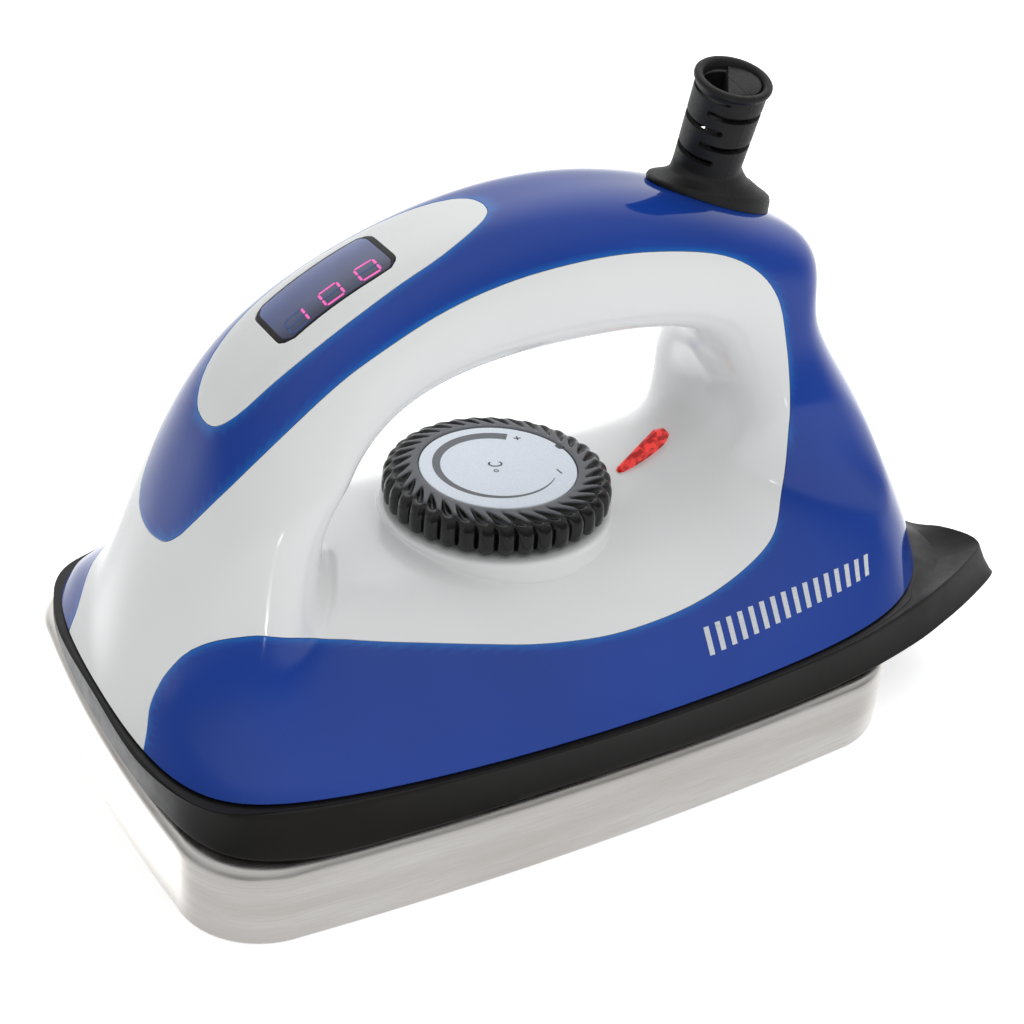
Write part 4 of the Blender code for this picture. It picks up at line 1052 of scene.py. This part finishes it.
# ---- pilot lamp ----------------------------------------------------------------------------------
def make_lamp():
    """Cut-gem lens: a long narrow wedge with a flat top facet, slanted side facets and a blunt end."""
    tip, end = Vector((33.4, -1.0, 47.0)), Vector((44.4, 0.0, 53.0))
    along = (end - tip).normalized()
    out = Vector((-along.z, 0.0, along.x))
    length = (end - tip).length
    # run along the lens, half width at the foot, half width of the top facet, height of the top facet
    stations = [(-0.5, 0.6, 0.1, 0.25), (0.3, 0.95, 0.14, 0.85), (length - 1.7, 2.15, 0.35, 2.2),
                (length + 0.5, 1.55, 0.3, 0.8)]
    rings = []
    for run, half, top_half, height in stations:
        base = tip + along * run
        outline = [(-half * 0.9, -2.6), (half * 0.9, -2.6), (half, 0.15), (top_half, height), (-top_half, height),
                   (-half, 0.15)]
        rings.append(np.array([tuple(base + Vector((0, 1, 0)) * s + out * h) for s, h in outline]))
    points, faces = loft(rings, True, (True, True))
    mesh = mesh_from("lamp_gem", points, faces)
    tidy_normals(mesh)
    obj = piece("lamp_gem", mesh, lens_look(), "iron", ("lamp_lens",))
    add_bevel(obj, 0.05, 2, 8.0)


# ---- sleeve --------------------------------------------------------------------------------------
def sleeve_frame(share, height):
    """Frame across the sleeve: share 0 is on the foot's axis, 1 on the tube's, height mm along it."""
    foot = Matrix.Translation(Vector(FOOT_PLACE)) @ Matrix.Rotation(FOOT_LEAN, 4, "Y")
    tube = Matrix.Translation(Vector(TUBE_PLACE)) @ Matrix.Rotation(TUBE_LEAN, 4, "X")
    return foot.lerp(tube, share) @ Matrix.Translation((0.0, 0.0, height))


def sleeve_ring(share, height, half_length, half_width, sides, lower=None):
    matrix = sleeve_frame(share, height)
    ring = []
    for a in angles(sides):
        spot = matrix @ Vector((half_length * math.cos(a), half_width * math.sin(a), 0.0))
        if lower is not None:
            spot = lower(spot)
        ring.append(tuple(spot))
    return np.array(ring)


def make_sleeve(surface):
    """Rubber sleeve: a saddle foot that lies on the handle, a slotted tube, and a rolled lip."""
    sides = 120

    def onto_handle(spot):
        found = surface.ray_cast(Vector((spot.x, spot.y, 140.0)), Vector((0.0, 0.0, -1.0)))
        return Vector((spot.x, spot.y, found[0].z + 0.12)) if found[0] is not None else spot

    def foot_ring(half_length, half_width, low, high):
        """A ring that follows the handle, lifted by low at its front and by high at its rear."""
        ring = []
        for a, spot in zip(angles(sides), sleeve_ring(0, 2.0, half_length, half_width, sides, onto_handle)):
            share = 0.5 + 0.5 * math.cos(a)
            ring.append(spot + (0.0, 0.0, low + (high - low) * share))
        return np.array(ring)

    rings = [foot_ring(14.7, 8.3, 0.0, 0.0), foot_ring(14.8, 8.3, 0.5, 2.4), foot_ring(14.5, 8.1, 0.9, 3.3),
             foot_ring(13.6, 7.8, 1.1, 3.7), foot_ring(11.6, 7.4, 1.4, 4.2), foot_ring(9.4, 7.1, 2.2, 5.0)]
    tube_foot = sleeve_ring(1, 0.0, 6.6, 6.6, sides)
    last = rings[-1]
    for share in (0.35, 0.65, 0.85):
        pull = np.array([share, share, share ** 1.6])
        rings.append(last + (tube_foot - last) * pull)
    heights = [0.0] + list(np.arange(0.35, TUBE_RISE - 1.9, 0.3))
    lip = TUBE_RISE - 1.7
    tube_start = len(rings)
    for height in heights:
        radius = 6.6 + 0.35 * min(1.0, height / 15.0)
        rings.append(sleeve_ring(1, height, radius, radius, sides))
    for height, radius in ((lip, 6.95), (lip + 0.25, 7.1), (lip + 0.5, 7.42), (lip + 0.9, 7.55), (lip + 1.35, 7.5),
                           (lip + 1.62, 7.25), (TUBE_RISE, 6.8), (TUBE_RISE - 0.1, 6.2), (TUBE_RISE - 0.5, 5.85),
                           (TUBE_RISE - 2.0, 5.6)):
        rings.append(sleeve_ring(1, height, radius, radius, sides))
    points, faces = loft(rings)
    # unrolled coordinates of the tube, for the slots
    turn = np.tile(np.degrees(angles(sides)), len(rings))
    rise = np.full(len(points), -50.0)
    for number, height in enumerate(heights):
        start = (tube_start + number) * sides
        rise[start:start + sides] = height
    cut = np.full(len(points), 20.0)
    arc = math.radians(1.0) * 6.7
    for number in range(5):
        middle, half = (-54.0, 97.0) if number % 2 else (147.0, 86.0)
        away = (turn - middle + 180.0) % 360.0 - 180.0
        along = np.maximum(np.abs(away) - half, 0.0) * arc
        across = rise - (3.2 + 3.3 * number) + 0.15 * np.cos(np.radians(away))
        cut = np.minimum(cut, np.hypot(along, across) - 0.62)
    points, faces = clip(points, faces, cut)
    mesh = mesh_from("sleeve_moulded", points, faces)
    tidy_normals(mesh)
    mesh.shade_smooth()
    look = rubber_look()
    obj = piece("sleeve_moulded", mesh, look, "iron", ("cord_sleeve",))
    wall = obj.modifiers.new("wall", "SOLIDIFY")
    wall.thickness = 1.15 * MM
    wall.offset = -1.0
    wall.use_even_offset = True
    add_bevel(obj, 0.18, 2, 50.0)
    make_cord_end(look)


def make_cord_end(look):
    """The held end of the cord: it fills more than half of the mouth and ends in a domed cut."""
    to_right = math.radians(-32.7)
    rings = []
    for share, height, radius in ((0, -9, 3.4), (0, -4, 3.4), (0, 0, 3.4), (0.5, 0, 3.5), (1, 0, 3.5)):
        matrix = sleeve_frame(share, height)
        rings.append(np.array([tuple(matrix @ Vector((radius * math.cos(a), radius * math.sin(a), 0.0)))
                               for a in angles(48)]))
    # towards the mouth it flattens into a half round that fills the right part of the bore
    for height, rise, scale in ((8.0, 0.0, 1.0), (TUBE_RISE - 2.5, 0.0, 1.0), (TUBE_RISE - 0.9, 0.3, 1.0),
                                (TUBE_RISE - 0.5, 0.9, 0.96), (TUBE_RISE - 0.2, 1.3, 0.8), (TUBE_RISE, 1.45, 0.4)):
        ring = []
        for a in angles(48):
            side = max(5.55 * scale * math.cos(a), -0.9 * scale)
            spot = (side + 0.8 * (1 - scale), 5.55 * scale * math.sin(a))
            turned = Matrix.Rotation(to_right, 2) @ Vector(spot)
            matrix = sleeve_frame(1, height - rise * 0.55 * (1 - max(side, 0.0) / 6.0))
            ring.append(tuple(matrix @ Vector((turned.x, turned.y, 0.0))))
        rings.append(np.array(ring))
    points, faces = loft(rings, True, (True, True))
    mesh = mesh_from("cord_stub", points, faces)
    tidy_normals(mesh)
    shade(mesh, 40.0)
    piece("cord_stub", mesh, look, "iron", ("cord_end",))


# ---- generic mark on the side --------------------------------------------------------------------
def make_side_mark(surface):
    """A plain row of slanted silver bars where such irons carry a printed mark."""
    look = print_look("mark_silver", (0.62, 0.65, 0.69), 0.3)
    points, faces = [], []
    for number in range(16):
        start = 28.0 + number * 2.95
        low = 30.2 + number * 0.14
        high = low + 3.1
        cell = [(start, low), (start + 1.25, low), (start + 2.6, high), (start + 1.35, high)]
        rows = 6
        base = len(points)
        for row in range(rows + 1):
            t = row / rows
            for left, right in ((0, 3), (1, 2)):
                x = cell[left][0] * (1 - t) + cell[right][0] * t
                z = cell[left][1] * (1 - t) + cell[right][1] * t
                found = surface.ray_cast(Vector((x, -90.0, z)), Vector((0.0, 1.0, 0.0)))
                normal = found[1] if found[1].y < 0 else -found[1]
                points.append(tuple(found[0] + normal * 0.05))
        for row in range(rows):
            a = base + row * 2
            faces.append([a, a + 1, a + 3, a + 2])
    mesh = mesh_from("side_mark", np.array(points), faces)
    mesh.shade_smooth()
    piece("side_mark", mesh, look, "iron", ())


# ---- inner CAD pieces keep their shape and get a worked surface ------------------------------------
INNER_LOOKS = {
    "brass": ("element_terminal_live", "element_terminal_neutral", "board_post_1", "board_post_2", "board_post_3",
              "board_post_4"),
    "board": ("control_board", "display_board"),
    "dark": ("triac", "capacitor", "led_module", "display_ribbon"),
    "sheet": ("heat_shield", "heat_sink"),
    "mica": ("insulation_sheet",),
    "white": ("terminal_block", "lamp_led"),
    "wire_live": ("wire_live",),
    "wire_neutral": ("wire_neutral",),
    "wire_earth": ("wire_earth",),
}


def dress_inner_pieces():
    looks = {
        "brass": metal_look("inner_brass", (0.72, 0.52, 0.22)),
        "board": moulded("inner_board", (0.03, 0.16, 0.06), 0.35, 0.2, 0.1),
        "dark": moulded("inner_dark", (0.03, 0.03, 0.03), 0.45, 0.2, 0.1),
        "sheet": metal_look("inner_sheet", (0.72, 0.72, 0.72), 0.3),
        "mica": moulded("inner_mica", (0.35, 0.28, 0.2), 0.7, 0.2, 0.1, 0.2),
        "white": moulded("inner_white", (0.8, 0.8, 0.78), 0.3),
        "wire_live": moulded("inner_wire_live", (0.2, 0.07, 0.02), 0.4),
        "wire_neutral": moulded("inner_wire_neutral", (0.02, 0.1, 0.5), 0.4),
        "wire_earth": moulded("inner_wire_earth", (0.1, 0.4, 0.05), 0.4),
        "steel": metal_look("inner_steel", (0.55, 0.55, 0.55)),
    }
    kind_of = {node: kind for kind, nodes in INNER_LOOKS.items() for node in nodes}
    for name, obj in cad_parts.items():
        look = looks[kind_of.get(name, "steel")]
        if not obj.hide_render:
            for slot in obj.material_slots:
                slot.material = look


# ---- floor and light -----------------------------------------------------------------------------
def make_stage():
    bm = bmesh.new()
    bmesh.ops.create_circle(bm, cap_ends=True, segments=64, radius=4.0)
    mesh = bpy.data.meshes.new("floor")
    bm.to_mesh(mesh)
    bm.free()
    floor = bpy.data.objects.new("floor", mesh)
    bpy.context.scene.collection.objects.link(floor)
    look = shader("floor_white", (0.93, 0.93, 0.93), 0.6, Emission_Color=(1.0, 1.0, 1.0, 1.0), Emission_Strength=0.5)
    link(look, blend(look, spread(look, noise(look, 3.0), 0.0, 1.0), (0.92, 0.92, 0.92), (0.94, 0.94, 0.94)),
         "Base Color")
    mesh.materials.append(look)
    floor.visible_glossy = False  # the gloss mirrors the studio's smooth glow, not the floor's horizon


def area_light(name, place, aim, size, power):
    """A soft light that leaves no hard-edged patch on the gloss."""
    data = bpy.data.lights.new(name, "AREA")
    data.shape = "RECTANGLE"
    data.size, data.size_y = size
    data.energy = power
    lamp = bpy.data.objects.new(name, data)
    lamp.visible_glossy = False
    lamp.location = place
    lamp.rotation_euler = (Vector(aim) - Vector(place)).to_track_quat("-Z", "Y").to_euler()
    bpy.context.scene.collection.objects.link(lamp)
    return lamp


# Glow of the studio: direction, where it starts and is full (cosine), strength.
WORLD_GLOW = [
    ((0.0, 0.0, 1.0), -1.5, -1.4, 0.18),    # everywhere
    ((0.0, 0.0, -1.0), -0.15, 0.15, 0.44),  # the floor
    ((0.0, 0.0, 1.0), 0.2, 1.0, 0.36),      # overhead
    ((0.54, 0.84, 0.0), 0.1, 0.9, 0.8),     # the far wall
    ((-0.46, 0.72, -0.52), 0.94, 1.0, 1.8),  # a reflector low behind the nose
]


def make_light():
    scene = bpy.context.scene
    scene.view_settings.view_transform = "Standard"
    world = bpy.data.worlds.new("studio")
    scene.world = world
    world.use_nodes = True
    tree = world.node_tree
    background = tree.nodes["Background"]
    direction = tree.nodes.new("ShaderNodeTexCoord").outputs["Generated"]

    def glow(towards, low, high, strength):
        """Light from one side of the studio: none up to low, all of it from high on."""
        product = tree.nodes.new("ShaderNodeVectorMath")
        product.operation = "DOT_PRODUCT"
        tree.links.new(direction, product.inputs[0])
        product.inputs[1].default_value = towards
        ramp = tree.nodes.new("ShaderNodeMapRange")
        ramp.interpolation_type = "SMOOTHSTEP"
        tree.links.new(product.outputs["Value"], ramp.inputs["Value"])
        for socket, value in (("From Min", low), ("From Max", high), ("To Min", 0.0), ("To Max", strength)):
            ramp.inputs[socket].default_value = value
        return ramp.outputs["Result"]

    total = None
    for part in WORLD_GLOW:
        if total is None:
            total = glow(*part)
        else:
            added = tree.nodes.new("ShaderNodeMath")
            added.operation = "ADD"
            tree.links.new(total, added.inputs[0])
            tree.links.new(glow(*part), added.inputs[1])
            total = added.outputs[0]
    tree.links.new(total, background.inputs["Strength"])
    background.inputs["Color"].default_value = (0.98, 0.99, 1.0, 1.0)
    area_light("key", (-0.3, -0.8, 0.95), (0.0, 0.0, 0.05), (1.3, 1.0), 4.6)
    area_light("top", (0.5, 0.4, 1.2), (0.0, 0.0, 0.05), (1.4, 1.0), 6.8)
    area_light("side", (1.1, -0.5, 0.7), (0.02, 0.0, 0.06), (0.5, 1.0), 2.4)
    glint = area_light("glint", (-0.4, -1.1, 0.075), (0.0, 0.0, 0.05), (0.06, 0.03), 0.14)
    glint.visible_glossy = True


def main():
    make_camera()
    make_light()
    make_stage()
    surface = make_body()
    make_plate()
    make_skirt()
    make_knob()
    make_lamp()
    make_sleeve(surface)
    make_side_mark(surface)
    dress_inner_pieces()


main()
